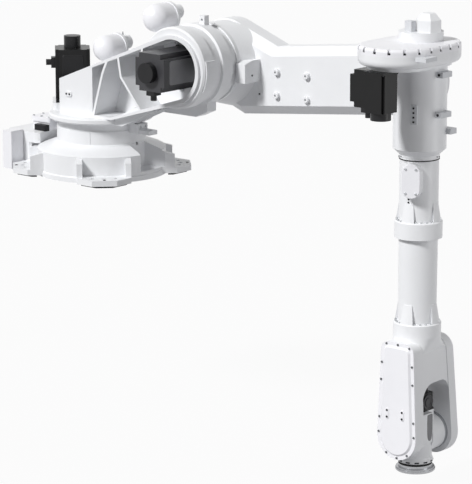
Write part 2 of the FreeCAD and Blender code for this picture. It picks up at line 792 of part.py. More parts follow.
def shoulder_block():
    """The stop housing that hangs under the shoulder hub."""
    outline = [(SHOULDER_X + u, SHOULDER_Z + v, 0) for u, v in SHOULDER_BLOCK]
    block = slab(outline, (HUB_GROOVE_Y, HUB_END_Y))
    keep = crosswise(HUB_FLANGE_R, SHOULDER_X, SHOULDER_Z, (SIDE_Y, HUB_END_Y))
    side = slab(side_outline(), (SIDE_Y, HUB_END_Y))
    block = block.cut(keep).cut(side)
    for rib in under_ribs():
        block = block.cut(rib)
    return max(block.Solids, key=lambda s: s.Volume)


def lifting_lug():
    angle = math.radians(LUG_ANGLE)
    x = SHOULDER_X + HUB_FLANGE_R * math.cos(angle)
    z = SHOULDER_Z + HUB_FLANGE_R * math.sin(angle)
    half = LUG_SIZE / 2
    lug = box((x - half, x + half), (HUB_END_Y - LUG_SIZE, HUB_END_Y), (z - half, z + LUG_HEIGHT))
    lug = lug.cut(crosswise(LUG_SIZE / 5, x, z + LUG_HEIGHT / 2, (HUB_GROOVE_Y, HUB_END_Y)))
    return lug.cut(crosswise(HUB_FLANGE_R, SHOULDER_X, SHOULDER_Z, (SIDE_Y, HUB_END_Y)))


def cable_elbow(centre, radius):
    """A domed cable elbow on a stem, with its axis along Y."""
    x, y, z = centre
    dome = Part.makeSphere(radius, vector(x, y, z))
    barrel = crosswise(radius, x, z, (y, y + ELBOW_BARREL))
    end = y + ELBOW_BARREL + ELBOW_RING
    neck = crosswise(ELBOW_NECK_R, x, z + radius / 4, (end, end + ELBOW_NECK))
    return dome, barrel, neck


def elbow_body(centre, radius):
    dome, barrel, neck = cable_elbow(centre, radius)
    x, y, z = centre
    front = dome.common(box((x - 2 * radius, x + 2 * radius), (y - 2 * radius, y), (z - radius, z + radius)))
    return join([front, barrel])


def elbow_ring(centre, radius):
    x, y, z = centre
    start = y + ELBOW_BARREL
    ring = crosswise(radius + ELBOW_LIP, x, z, (start, start + ELBOW_RING))
    neck = cable_elbow(centre, radius)[2]
    half = ELBOW_STEM / 2
    stem = box((x - half, x + half), (start, start + ELBOW_NECK_R), (z - ELBOW_STEM_DEPTH, z))
    return ring, neck, stem


def elbow_mount(centre, radius):
    """The clamp ring, the neck behind it and the stem down to the column."""
    solid = join(list(elbow_ring(centre, radius)))
    return solid.cut(far_block()).cut(slab(side_outline(), (SIDE_Y, HUB_END_Y)))


# Upper arm


def arm_line(x):
    """Height of the arm's centre line."""
    return ELBOW_Z - (ELBOW_X - x) * math.tan(math.radians(ARM_TILT))


def arm_root():
    return [
        (ARM_FOOT_X, arm_line(ARM_FOOT_X) - ARM_HALF, 0),
        (ARM_RAMP_X, arm_line(ARM_RAMP_X), 0),
        (ARM_RAMP_X, arm_line(ARM_RAMP_X) + ARM_HALF, 0),
        (SHOULDER_X, SHOULDER_Z, ARM_HUB_R),
    ]


def arm_beam():
    return [
        (ARM_FOOT_X, arm_line(ARM_FOOT_X) - ARM_HALF, 0),
        (ELBOW_X, ELBOW_Z, ARM_HEIGHT / 2),
        (ARM_FOOT_X, arm_line(ARM_FOOT_X) + ARM_HALF, 0),
    ]


def arm_flare(gap=0.0):
    """The round neck that widens and leans from the shoulder hub into the arm."""
    near = vector(SHOULDER_X, ARM_HUB_Y + ARM_COLLAR, SHOULDER_Z)
    far = vector(SHOULDER_X + FLARE_SHIFT[0], ARM_NEAR_Y + ARM_CHAMFER, SHOULDER_Z + FLARE_SHIFT[1])
    sizes = ((near, ARM_NECK_R + gap), (far, ARM_NECK_R + FLARE_GROWTH + gap))
    return Part.makeLoft([Part.Wire(Part.makeCircle(r, p, vector(0, 1, 0))) for p, r in sizes], True)


def arm_casting():
    depth = (ARM_NEAR_Y, ARM_FAR_Y)
    beam = join([slab(arm_root(), depth), slab(arm_beam(), depth)])
    edges = []
    for edge in beam.Edges:
        levels = {round(v.Point.y, 3) for v in edge.Vertexes}
        if levels == {round(ARM_NEAR_Y, 3)} or levels == {round(ARM_FAR_Y, 3)}:
            edges.append(edge)
    beam = beam.makeChamfer(ARM_CHAMFER, edges)
    limit = slab(arm_root(), (ARM_HUB_Y, ARM_FAR_Y))
    collar = crosswise(ARM_NECK_R, SHOULDER_X, SHOULDER_Z, (ARM_HUB_Y, ARM_NEAR_Y + ARM_CHAMFER))
    return join([beam, arm_flare().common(limit), collar])


def arm_bosses():
    u, v = BOSS_SPACING
    x, z = BOSS_CENTRE
    pieces = []
    profile = [
        (BOSS_HOLE_R, 0),
        (BOSS_R - BOSS_BEVEL, 0),
        (BOSS_R, BOSS_BEVEL),
        (BOSS_R, BOSS_HEIGHT),
        (BOSS_HOLE_R, BOSS_HEIGHT),
    ]
    for du in (-u / 2, u / 2):
        for dv in (-v / 2, v / 2):
            place = (x + du, ARM_NEAR_Y - BOSS_HEIGHT, z + dv)
            pieces.append(turned(profile, place, (0, 1, 0)))
    return Part.makeCompound(pieces)


def arm_stop():
    width, depth, height = ARM_STOP
    x, z = ARM_STOP_PLACE
    span_x = (x - width / 2, x + width / 2)
    block = box(span_x, (ARM_NEAR_Y - depth, ARM_NEAR_Y), (z - height / 2, z + height / 2))
    top = z + height / 2
    wedge = Part.Face(Part.makePolygon([
        vector(0, ARM_NEAR_Y - depth, top - ARM_STOP_SLOPE),
        vector(0, ARM_NEAR_Y - depth / 2, top),
        vector(0, ARM_NEAR_Y - depth, top),
        vector(0, ARM_NEAR_Y - depth, top - ARM_STOP_SLOPE),
    ])).extrude(vector(2 * x, 0, 0))
    block = block.cut(wedge).cut(arm_flare(RUNNING_GAP))
    return max(block.Solids, key=lambda s: s.Volume)


def round_cover(radius, x, z, y):
    """A bolted round cover with a bevelled rim, on the arm's far side."""
    profile = [
        (0, 0),
        (radius, 0),
        (radius, COVER_THICKNESS - COVER_LIP / 2),
        (radius - COVER_LIP, COVER_THICKNESS),
        (0, COVER_THICKNESS),
    ]
    return turned(profile, (x, y, z), (0, 1, 0))


def elbow_reducer():
    return crosswise(ELBOW_RING_R, ELBOW_X, ELBOW_Z, (ELBOW_RING_Y, ARM_NEAR_Y))


# Forearm housing


def elbow_casting():
    foot_z = ELBOW_Z + HOUSING_BOTTOM
    body = turned([
        (0, foot_z - HOUSING_RING),
        (HOUSING_NECK_R - HOUSING_GROOVE, foot_z - HOUSING_RING),
        (HOUSING_NECK_R - HOUSING_GROOVE, foot_z - HOUSING_RING / 2),
        (HOUSING_NECK_R, foot_z - HOUSING_RING / 2),
        (HOUSING_NECK_R, foot_z),
        (HOUSING_R, foot_z + HOUSING_CHAMFER),
        (HOUSING_R, CASE_Z),
        (0, CASE_Z),
    ], (FOREARM_X, 0, 0))
    boss = crosswise(BOSS_ARM_R, ELBOW_X, ELBOW_Z, (BOSS_FACE_Y, BOSS_END_Y))
    half = WEB_HEIGHT / 2
    web = box((ELBOW_X, FOREARM_X), (BOSS_FACE_Y, HOUSING_R), (ELBOW_Z - half, ELBOW_Z + half))
    start, step = HOUSING_BACK
    rear = box((ELBOW_X + start, FOREARM_X), (0, BOSS_FACE_Y), (ELBOW_Z - half + step, ELBOW_Z + half))
    solid = join([body, boss, web, rear])
    bore_z = (HOUSING_FOOT, HOUSING_FOOT + ROLL_SHAFT_LENGTH + HOUSING_WALL)
    return solid.cut(upright(ROLL_SHAFT_R + SHAFT_CLEARANCE, FOREARM_X, 0, bore_z))


def stadium(radius):
    return [(FOREARM_X, -CASE_SPAN, radius), (FOREARM_X, 0, radius)]


def belt_case():
    """The stadium-shaped case of the forearm's roll drive."""
    foot_plate = plate(stadium(CASE_R - CASE_FOOT), (CASE_Z, CASE_Z + CASE_EDGE))
    body = plate(stadium(CASE_R), (CASE_Z + CASE_EDGE / 2, CASE_TOP))
    low = [e for e in body.Edges if all(abs(v.Point.z - CASE_Z - CASE_EDGE / 2) < 0.01 for v in e.Vertexes)]
    body = body.makeFillet(CASE_EDGE, low)
    return join([foot_plate, body])


def belt_lid():
    lid = plate(stadium(CASE_R), (CASE_TOP, LID_TOP))
    high = [e for e in lid.Edges if all(abs(v.Point.z - LID_TOP) < 0.01 for v in e.Vertexes)]
    lid = lid.makeFillet(LID_EDGE, high)
    return lid.cut(Part.makeCompound(lid_slots()))


def lid_slots():
    """Bolt slots sunk in the lid's rim, evenly spaced round the stadium."""
    straight = CASE_SPAN
    bend = math.pi * CASE_R
    pitch = 2 * (straight + bend) / LID_SLOTS
    width, depth = LID_SLOT
    slots = []
    for k in range(LID_SLOTS):
        s = k * pitch
        if s < straight:
            x, y, angle = FOREARM_X + CASE_R, s - straight, 0.0
        elif s < straight + bend:
            angle = (s - straight) / CASE_R
            x, y = FOREARM_X + CASE_R * math.cos(angle), CASE_R * math.sin(angle)
        elif s < 2 * straight + bend:
            x, y, angle = FOREARM_X - CASE_R, straight + bend - s, math.pi
        else:
            angle = math.pi + (s - 2 * straight - bend) / CASE_R
            x, y = FOREARM_X + CASE_R * math.cos(angle), -straight + CASE_R * math.sin(angle)
        slot = box((-depth, depth), (-width / 2, width / 2), (0, LID_HEIGHT))
        slot.rotate(vector(0, 0, 0), vector(0, 0, 1), math.degrees(angle))
        slots.append(moved(slot, x, y, LID_TOP - LID_SLOT_HEIGHT))
    return slots


def cap_tower():
    return upright(TOWER_R, FOREARM_X, 0, (LID_TOP, LID_TOP + TOWER_HEIGHT))


def cap_ring(radius, z):
    points = []
    for k in range(CAP_SIDES):
        angle = math.radians(360.0 * k / CAP_SIDES + CAP_TURN)
        points.append(vector(FOREARM_X + CAP_SHIFT + radius * math.cos(angle), radius * math.sin(angle), z))
    return Part.makePolygon(points + points[:1])


def gland_cap():
    """The faceted cable cap on top, with its sides cut flat."""
    foot_z = LID_TOP + TOWER_HEIGHT
    eaves_z = foot_z + CAP_HEIGHT
    wall = Part.makeLoft([cap_ring(CAP_R, foot_z), cap_ring(CAP_R, eaves_z)], True)
    roof = Part.makeLoft([cap_ring(CAP_R, eaves_z), cap_ring(CAP_R * CAP_TAPER, eaves_z + CAP_SLOPE)], True)
    return join([wall, roof])


def junction_box():
    length, width, height = JUNCTION_BOX
    start = FOREARM_X - TOWER_R + JUNCTION_SHIFT
    y = (-TOWER_R / 2 - width / 2, -TOWER_R / 2 + width / 2)
    foot_z = LID_TOP + TOWER_HEIGHT
    return plate(corners((start, start + length), y, SMALL_CORNER), (foot_z, foot_z + height))


def housing_clamps():
    """Cable clamp blocks up the front of the housing."""
    half = CLAMP_HEIGHT / 2
    pieces = []
    for level, y, length, reach in CLAMPS:
        z = ELBOW_Z + level
        x = (FOREARM_X, FOREARM_X + HOUSING_R + reach)
        block = box(x, (y - length / 2, y + length / 2), (z - half, z + half))
        pieces.append(block.cut(upright(HOUSING_R, FOREARM_X, 0, (z - half, z + half))))
    return Part.makeCompound([max(p.Solids, key=lambda s: s.Volume) for p in pieces])


def screw_plate():
    width, thick, height = PLATE_SIZE
    top = ELBOW_Z - PLATE_DROP + height / 2
    block = box((0, HOUSING_R + thick), (-width / 2, width / 2), (top - height, top))
    block.rotate(vector(0, 0, 0), vector(0, 0, 1), PLATE_ANGLE)
    block = moved(block, FOREARM_X, 0, 0)
    block = block.cut(upright(HOUSING_R, FOREARM_X, 0, (top - 2 * height, top + height)))
    return max(block.Solids, key=lambda s: s.Volume)


def case_bracket():
    """The cable bracket on the front of the belt case."""
    length, reach, thick = CASE_BRACKET
    y = -CASE_SPAN + CASE_BRACKET_SHIFT
    z = (CASE_TOP - thick, CASE_TOP)
    block = box((FOREARM_X, FOREARM_X + CASE_R + reach), (y - length / 2, y + length / 2), z)
    return max(block.cut(plate(stadium(CASE_R), z)).Solids, key=lambda s: s.Volume)


# Forearm tube


def gussets(top):
    """A flare that stiffens a tube above its flange, left as four wedges by its bolt pockets."""
    back = TUBE_R - GUSSET_THICKNESS
    high = top + GUSSET_HEIGHT
    outer = FLANGE_R - GUSSET_SETBACK
    flare = turned([(back, top), (outer, top), (TUBE_R + TUBE_TAPER / 2, high), (back, high)])
    half = GUSSET_POCKET / 2
    pocket = box((0, 2 * FLANGE_R), (-half, half), (top, high))
    flare = flare.cut(Part.makeCompound(in_a_ring(pocket, 4, GUSSET_TURN)))
    return [moved(piece, FOREARM_X, 0, 0) for piece in flare.Solids]


def upper_tube():
    shaft = upright(ROLL_SHAFT_R, FOREARM_X, 0, (UPPER_FLANGE_FOOT, TUBE_TOP + ROLL_SHAFT_LENGTH))
    body = upright(TUBE_R, FOREARM_X, 0, (UPPER_FLANGE_FOOT, TUBE_TOP))
    flange = turned([
        (0, UPPER_FLANGE_FOOT),
        (FLANGE_R, UPPER_FLANGE_FOOT),
        (FLANGE_R, UPPER_FLANGE_TOP - FLANGE_BEVEL),
        (FLANGE_R - FLANGE_BEVEL, UPPER_FLANGE_TOP),
        (0, UPPER_FLANGE_TOP),
    ], (FOREARM_X, 0, 0))
    solid = join([body, shaft, flange] + gussets(UPPER_FLANGE_TOP))
    bore = upright(ROLL_SHAFT_R - TUBE_WALL, FOREARM_X, 0, (UPPER_FLANGE_FOOT, TUBE_TOP + ROLL_SHAFT_LENGTH))
    return solid.cut(bore).cut(hatch_seat())


def on_hatch_side(shape):
    """Turn a piece about the forearm's axis to the side that the hatch faces."""
    copy = shape.copy()
    copy.rotate(vector(FOREARM_X, 0, 0), vector(0, 0, 1), HATCH_ANGLE)
    return copy


def hatch_outline(inset=0.0):
    width, height = HATCH_SIZE
    radius = width / 2 - inset
    low = TUBE_TOP - HATCH_DROP - height / 2 + width / 2
    return [(FOREARM_X, low, radius), (FOREARM_X, low + height - width, radius)]


def hatch_seat():
    return on_hatch_side(slab(hatch_outline(HATCH_LID), (-TUBE_R - HATCH_PROUD, -ROLL_SHAFT_R)))


def hatch_frame():
    """The raised oval frame of the service hatch."""
    y = (-TUBE_R - HATCH_PROUD + HATCH_LID, 0)
    frame = slab(hatch_outline(), y).cut(upright(TUBE_R, FOREARM_X, 0, (UPPER_FLANGE_TOP, TUBE_TOP)))
    frame = max(frame.Solids, key=lambda s: -s.CenterOfMass.y)
    return on_hatch_side(frame).cut(hatch_seat())


def hatch_lid():
    y = (-TUBE_R - HATCH_PROUD, -TUBE_R - HATCH_PROUD + HATCH_LID)
    lid = slab(hatch_outline(), y)
    rim = [e for e in lid.Edges if all(abs(v.Point.y - y[0]) < 0.01 for v in e.Vertexes)]
    return on_hatch_side(lid.makeChamfer(HATCH_BEVEL, rim))


def lower_tube():
    body = turned([
        (TUBE_R - TUBE_WALL, LOWER_FLANGE_FOOT),
        (FLANGE_R, LOWER_FLANGE_FOOT),
        (FLANGE_R, LOWER_FLANGE_TOP - FLANGE_BEVEL),
        (FLANGE_R - FLANGE_BEVEL, LOWER_FLANGE_TOP),
        (TUBE_R - TUBE_TAPER, LOWER_FLANGE_TOP),
        (TUBE_R, UPPER_FLANGE_FOOT),
        (TUBE_R - TUBE_WALL, UPPER_FLANGE_FOOT),
    ], (FOREARM_X, 0, 0))
    keep = upright(TUBE_R - TUBE_WALL, FOREARM_X, 0, (LOWER_FLANGE_FOOT, UPPER_FLANGE_FOOT))
    return body.multiFuse([g.cut(keep) for g in gussets(LOWER_FLANGE_TOP)])


# Wrist


def lobe_outline(lobe, inset=0.0):
    """One lobe of the wrist seen from the side: round at the tilt axis, square at the top."""
    lift, half, radius, drop = lobe
    high = LOWER_FLANGE_FOOT - drop - radius
    out = half - radius
    return [
        (FOREARM_X, TILT_Z + lift, WRIST_HALF_WIDTH - inset),
        (FOREARM_X + out, high, radius - inset),
        (FOREARM_X - out, high, radius - inset),
    ]


def fork_section(z, near, far, y, radius):
    """A rounded four-sided outline at one height, with its half widths at the near and far side."""
    (u0, v0), (u1, v1) = (near - radius, y[0] + radius), (far - radius, y[1] - radius)
    outline = rounded([(u, v, radius) for u, v in ((-u0, v0), (u0, v0), (u1, v1), (-u1, v1))])
    outline.rotate(vector(0, 0, 0), vector(1, 0, 0), -90)
    outline.translate(vector(FOREARM_X, 0, z))
    return outline


def arch_gap(top):
    """The room between the lobes, with a round corner at each end of its top."""
    near = (NEAR_INNER_Y + ARCH_NEAR_R, top - ARCH_NEAR_R, ARCH_NEAR_R)
    far = (FAR_INNER_Y - ARCH_FAR_R, top - ARCH_FAR_R, ARCH_FAR_R)
    foot_z = TILT_Z
    gap = slab([(NEAR_INNER_Y, foot_z, 0), (FAR_INNER_Y, foot_z, 0), far, near], (-FLANGE_R, FLANGE_R))
    gap.rotate(vector(0, 0, 0), vector(0, 0, 1), 90)
    return moved(gap, FOREARM_X, 0, 0)


def wrist_fork():
    """The wrist casting: a round top blended into two lobes with a gap between them."""
    foot_z = LOWER_FLANGE_FOOT
    spread = FORK_SPREAD
    near_half, far_half = [lobe[1] - FORK_WEB_INSET - 1 for lobe in (NEAR_LOBE, FAR_LOBE)]
    neck = Part.makeLoft([
        fork_section(foot_z, FLANGE_R, FLANGE_R, (-FLANGE_R, FLANGE_R), FLANGE_R - 1),
        fork_section(foot_z - spread / 4, FLANGE_R - 5, FLANGE_R - 5, (-FLANGE_R, FLANGE_R), FLANGE_R - 12),
        fork_section(foot_z - spread, near_half, far_half, (NEAR_OUTER_Y, FAR_OUTER_Y), FLANGE_R / 2),
    ], True)
    near = slab(lobe_outline(NEAR_LOBE), (NEAR_OUTER_Y, NEAR_INNER_Y))
    far = slab(lobe_outline(FAR_LOBE), (FAR_INNER_Y, FAR_OUTER_Y))
    arch_z = TILT_Z + ARCH_TOP
    bridge_x = (FOREARM_X - FLANGE_R, FOREARM_X + FLANGE_R)
    bridge_y = (NEAR_INNER_Y, FAR_INNER_Y)
    wires = []
    for lobe, y in ((NEAR_LOBE, bridge_y[0]), (FAR_LOBE, bridge_y[1])):
        wire = rounded(lobe_outline(lobe, FORK_WEB_INSET))
        wire.translate(vector(0, y, 0))
        wires.append(wire)
    bridge_z = (arch_z - ARCH_NEAR_R, foot_z - spread / 2)
    bridge = Part.makeLoft(wires, True).common(box(bridge_x, bridge_y, bridge_z))
    solid = join([neck, near, far, bridge]).cut(arch_gap(arch_z))
    pin_y = (NEAR_INNER_Y - TILT_PIN_DEPTH, FAR_INNER_Y + TILT_PIN_DEPTH)
    return solid.cut(crosswise(TILT_PIN_R + SHAFT_CLEARANCE, FOREARM_X, TILT_Z, pin_y))


def wrist_cover(outer, lobe):
    """The bolted cover on the outside of one lobe, with a raised bevelled panel."""
    rim = slab(lobe_outline(lobe), (outer - WRIST_COVER, outer))
    y = outer - WRIST_COVER
    wires = []
    for inset, level in ((WRIST_PANEL_INSET, y), (WRIST_PANEL_INSET + WRIST_PANEL_BEVEL, y - WRIST_PANEL)):
        wire = rounded(lobe_outline(lobe, inset))
        wire.translate(vector(0, level, 0))
        wires.append(wire)
    return join([rim, Part.makeLoft(wires, True)])


def near_wrist_cover():
    return wrist_cover(NEAR_OUTER_Y, NEAR_LOBE)


def far_wrist_cover():
    return wrist_cover(-FAR_OUTER_Y, FAR_LOBE).mirror(vector(0, 0, 0), vector(0, 1, 0))


def tilt_reducer():
    y = (FAR_INNER_Y - TILT_RING, FAR_INNER_Y)
    ring = crosswise(TILT_RING_R, FOREARM_X, TILT_Z, y)
    return ring.cut(crosswise(TILT_PIN_R + SHAFT_CLEARANCE, FOREARM_X, TILT_Z, y))


def tilt_housing():
    """The tilting wrist body: a hub on the tilt axis, a motor seat and the neck below."""
    near_y = NEAR_INNER_Y + RUNNING_GAP
    far_y = FAR_INNER_Y - TILT_RING - RUNNING_GAP
    hub = crosswise(TILT_R, FOREARM_X, TILT_Z, (TILT_PANEL_Y, far_y))
    barrel = crosswise(TILT_BARREL_R, FOREARM_X, TILT_Z, (near_y, far_y))
    low, high = TILT_Z + TILT_PANEL_Z[0], TILT_Z + TILT_PANEL_Z[1]
    panel_x = (FOREARM_X - TILT_PANEL_X, FOREARM_X + TILT_PANEL_X)
    panel = box(panel_x, (near_y, TILT_PANEL_Y), (low, high))
    half = HAND_MOTOR[0] / 2
    seat_x = (FOREARM_X - half, FOREARM_X + half)
    seat = box(seat_x, (near_y, HAND_MOTOR_Y + half), (TILT_Z + TILT_R / 2, high))
    pin_y = (NEAR_INNER_Y - TILT_PIN_DEPTH + RUNNING_GAP, FAR_INNER_Y + TILT_PIN_DEPTH - RUNNING_GAP)
    pin = crosswise(TILT_PIN_R, FOREARM_X, TILT_Z, pin_y)
    foot_z = TOOL_TOP_Z + RUNNING_GAP + SEAL_BAND
    neck = turned([
        (0, TILT_Z),
        (TILT_NECK_R, TILT_Z),
        (TILT_NECK_R, foot_z + TILT_FOOT),
        (TILT_FOOT_R, foot_z + TILT_FOOT / 2),
        (TILT_FOOT_R, foot_z),
        (0, foot_z),
    ], (FOREARM_X, 0, 0))
    return join([hub, barrel, panel, seat, pin, neck])


def tool_seat():
    """The dark seal band between the wrist and the tool flange."""
    z = (TOOL_TOP_Z + RUNNING_GAP, TOOL_TOP_Z + RUNNING_GAP + SEAL_BAND)
    shaft = upright(TOOL_SHAFT_R + SHAFT_CLEARANCE, FOREARM_X, 0, z)
    return upright(TOOL_STEP_R, FOREARM_X, 0, z).cut(shaft)


def tool_flange():
    """The tool flange: pilot bore and threaded bolt circle."""
    step_z = TOOL_TOP_Z - TOOL_STEP
    lip_z = step_z - 2 * TOOL_LIP
    body = turned([
        (0, TOOL_FACE_Z),
        (TOOL_FLANGE_R - TOOL_LIP, TOOL_FACE_Z),
        (TOOL_FLANGE_R, TOOL_FACE_Z + TOOL_LIP),
        (TOOL_FLANGE_R, lip_z),
        (TOOL_FLANGE_R - TOOL_LIP, lip_z),
        (TOOL_FLANGE_R - TOOL_LIP, step_z),
        (TOOL_STEP_R, step_z),
        (TOOL_STEP_R, TOOL_TOP_Z),
        (TOOL_SHAFT_R, TOOL_TOP_Z),
        (TOOL_SHAFT_R, TOOL_TOP_Z + SEAL_BAND),
        (0, TOOL_TOP_Z + SEAL_BAND),
    ], (FOREARM_X, 0, 0))
    pilot = upright(TOOL_PILOT_R, FOREARM_X, 0, (TOOL_FACE_Z, TOOL_FACE_Z + TOOL_PILOT_DEPTH))
    hole = upright(TOOL_BOLT_HOLE_R, TOOL_BOLT_R, 0, (TOOL_FACE_Z, TOOL_FACE_Z + TOOL_BOLT_DEPTH))
    body = body.cut(pilot)
    for cut in in_a_ring(hole, 6):
        body = body.cut(moved(cut, FOREARM_X, 0, 0))
    return body


# The whole robot


def motors():
    pieces = {}
    places = {
        "waist_motor": (WAIST_MOTOR, (WAIST_MOTOR_X, 0, SEAT_TOP), (0, 0, 1), 45.0),
        "shoulder_motor": (SHOULDER_MOTOR, (SHOULDER_X, WEB_Y, SHOULDER_Z), (0, -1, 0), 0.0),
        "elbow_motor": (ELBOW_MOTOR, (ELBOW_X, BOSS_FACE_Y, ELBOW_Z), (0, -1, 0), 0.0),
        "roll_motor": (ROLL_MOTOR, (FOREARM_X, ROLL_MOTOR_Y, CASE_Z), (0, 0, -1), 0.0),
        "hand_motor": (HAND_MOTOR, (FOREARM_X, HAND_MOTOR_Y, TILT_Z + TILT_PANEL_Z[1]), (0, 0, 1), 0.0),
    }
    for name, (size, place, direction, roll) in places.items():
        body, cap = servo(size)
        pieces[name] = placed(body, place, direction, roll)
        if cap:
            pieces[name + "_cap"] = placed(cap, place, direction, roll)
    plugs = {
        "waist_motor": (180.0, WAIST_PLUG_DROP),
        "shoulder_motor": (-90.0, 0.0),
        "elbow_motor": (-90.0, 0.0),
    }
    for name, (turn, drop) in plugs.items():
        size, place, direction, roll = places[name]
        plug = servo_plug(size, drop)
        pieces[name + "_plug"] = placed(plug, place, direction, roll + turn)
    return pieces


def build():
    pieces = {
        "base_casting": base_casting(),
        "sole_plates": sole_plates(),
        "waist_bearing": waist_bearing(),
        "waist_stop": waist_stop(),
        "rear_housing": rear_housing(),
        "gland_box": gland_box(),
        "rear_lid": rear_lid(),
        "panel_box": panel_box(),
        "column_casting": column_casting(),
        "shoulder_reducer": shoulder_reducer(),
        "shoulder_block": shoulder_block(),
        "lifting_lug": lifting_lug(),
        "cable_elbow_low": elbow_body(ELBOW_LOW, ELBOW_LOW_R),
        "cable_elbow_low_mount": elbow_mount(ELBOW_LOW, ELBOW_LOW_R),
        "cable_elbow_high": elbow_body(ELBOW_HIGH, ELBOW_HIGH_R),
        "cable_elbow_high_mount": elbow_mount(ELBOW_HIGH, ELBOW_HIGH_R),
        "arm_casting": arm_casting(),
        "arm_bosses": arm_bosses(),
        "arm_stop": arm_stop(),
        "shoulder_cover": round_cover(COVER_R, SHOULDER_X, SHOULDER_Z, ARM_FAR_Y),
        "elbow_cover": round_cover(ELBOW_COVER_R, ELBOW_X, ELBOW_Z, ARM_FAR_Y),
        "elbow_reducer": elbow_reducer(),
        "elbow_casting": elbow_casting(),
        "belt_case": belt_case(),
        "belt_lid": belt_lid(),
        "cap_tower": cap_tower(),
        "gland_cap": gland_cap(),
        "junction_box": junction_box(),
        "housing_clamps": housing_clamps(),
        "screw_plate": screw_plate(),
        "case_bracket": case_bracket(),
        "upper_tube": upper_tube(),
        "hatch_frame": hatch_frame(),
        "hatch_lid": hatch_lid(),
        "lower_tube": lower_tube(),
        "wrist_fork": wrist_fork(),
        "near_wrist_cover": near_wrist_cover(),
        "far_wrist_cover": far_wrist_cover(),
        "tilt_reducer": tilt_reducer(),
        "tilt_housing": tilt_housing(),
        "tool_seat": tool_seat(),
        "tool_flange": tool_flange(),
    }
    pieces.update(motors())
    return pieces


os.makedirs("parts", exist_ok=True)
for name, shape in build().items():
    if not shape.isValid():
        print("not valid:", name)
    shape.exportStep(os.path.join("parts", name + ".step"))
    print(name, len(shape.Solids), round(shape.Volume / 1000), "cm3")
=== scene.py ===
# %% [markdown]
# # A six-axis handling robot
# The real object is a floor-bolted robot about 2.3 m long: an iron base and column, a long
# cast arm, and a tubular forearm that hangs down to a forked wrist with a steel tool flange.
# The castings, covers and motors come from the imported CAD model. This script gives them their
# finishes and adds the small parts that CAD leaves out: screws, bolts, seams and fittings.

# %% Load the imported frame
import math

import bpy
import numpy as np
from mathutils import Matrix, Vector


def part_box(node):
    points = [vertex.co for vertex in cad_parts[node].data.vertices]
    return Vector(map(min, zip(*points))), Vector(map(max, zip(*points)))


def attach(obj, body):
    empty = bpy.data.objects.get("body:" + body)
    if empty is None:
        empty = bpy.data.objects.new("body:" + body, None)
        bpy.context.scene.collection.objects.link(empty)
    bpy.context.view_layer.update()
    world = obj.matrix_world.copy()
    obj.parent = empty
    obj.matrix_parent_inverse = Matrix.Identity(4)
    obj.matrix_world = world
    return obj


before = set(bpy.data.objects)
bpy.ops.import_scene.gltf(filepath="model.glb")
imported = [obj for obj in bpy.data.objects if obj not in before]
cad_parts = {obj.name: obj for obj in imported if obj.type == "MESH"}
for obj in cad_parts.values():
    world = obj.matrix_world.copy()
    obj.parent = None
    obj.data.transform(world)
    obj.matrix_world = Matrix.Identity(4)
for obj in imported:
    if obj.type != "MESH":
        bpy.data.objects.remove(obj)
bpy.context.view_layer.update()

# %% [markdown]
# ## Main axes
# Screws and seams are placed from the same few axes that the robot is built on, in metres:
# the shoulder, the elbow, the forearm's own axis and the tilt axis of the wrist. Places could
# all be typed in as numbers, but where a screw sits on the end of a CAD part, that face is
# read from the part's box, so the screw stays on its seat when a casting changes size. Radii
# that a box doesn't give, such as a bolt circle, are named in the cell that uses them.

# %% Axes of the robot, in metres
X, Y, Z = np.eye(3)
SHOULDER = Vector((0.541, 0.0, 0.522))
ELBOW = Vector((1.505, 0.0, 0.532))
FOREARM_X = 1.708
TILT_Z = -0.855
FOREARM = FOREARM_X * X


def face(node, axis, high=True):
    """Where a CAD node ends along one axis (0, 1, 2 for X, Y, Z), on its high or low side."""
    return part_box(node)[1 if high else 0][axis]


def middle(node, axis):
    """The middle of a CAD node's box along one axis."""
    return (face(node, axis, False) + face(node, axis)) / 2


def extent(node, axis):
    """The size of a CAD node's box along one axis."""
    return face(node, axis) - face(node, axis, False)


def heading(degrees):
    """Level directions: cosine, sine and zero for each angle round the upright axis."""
    turn = np.radians(np.asarray(degrees, dtype=float))
    return np.stack([np.cos(turn), np.sin(turn), 0 * turn], axis=-1)


print("case lid top:", round(face("belt_lid", 2), 4), "fork top:", round(face("wrist_fork", 2), 4))

# %% [markdown]
# ## Colours and nodes
# Paint colours are chosen as sRGB hex values, but shaders compute in linear light, so
# one function converts them. A second small function adds any shader node with its settings
# and links, which keeps each material readable as a list of steps.

# %% Colour and node helpers
# A Mix node keeps sockets for numbers, vectors and colours side by side: these are the colours.
MIX_SHARE, MIX_FIRST, MIX_SECOND, MIX_RESULT = 0, 6, 7, 2


def linear(code):
    """An sRGB hex colour as linear RGBA: a division by 12.92 when dark, else a 2.4 power curve."""
    parts = np.array([int(code[k:k + 2], 16) for k in (1, 3, 5)]) / 255
    dark, bright = parts / 12.92, ((parts + 0.055) / 1.055) ** 2.4
    return tuple(np.where(parts <= 0.04045, dark, bright)) + (1.0,)


def add(tree, kind, sockets=None, **settings):
    """Add one shader node; each socket gets a value or the output that feeds it."""
    made = tree.nodes.new("ShaderNode" + kind)
    for key, value in settings.items():
        setattr(made, key, value)
    for key, value in (sockets or {}).items():
        if isinstance(value, bpy.types.NodeSocket):
            tree.links.new(value, made.inputs[key])
        else:
            made.inputs[key].default_value = value
    return made


def blank(name):
    """A material with an empty node tree, that tree, and the object's own coordinates."""
    material = bpy.data.materials.new(name)
    material.use_nodes = True
    tree = material.node_tree
    tree.nodes.clear()
    return material, tree, add(tree, "TexCoord").outputs["Object"]


def finish(tree, shader):
    """Send a shader to the material's output."""
    add(tree, "OutputMaterial", {"Surface": shader.outputs["BSDF"]})


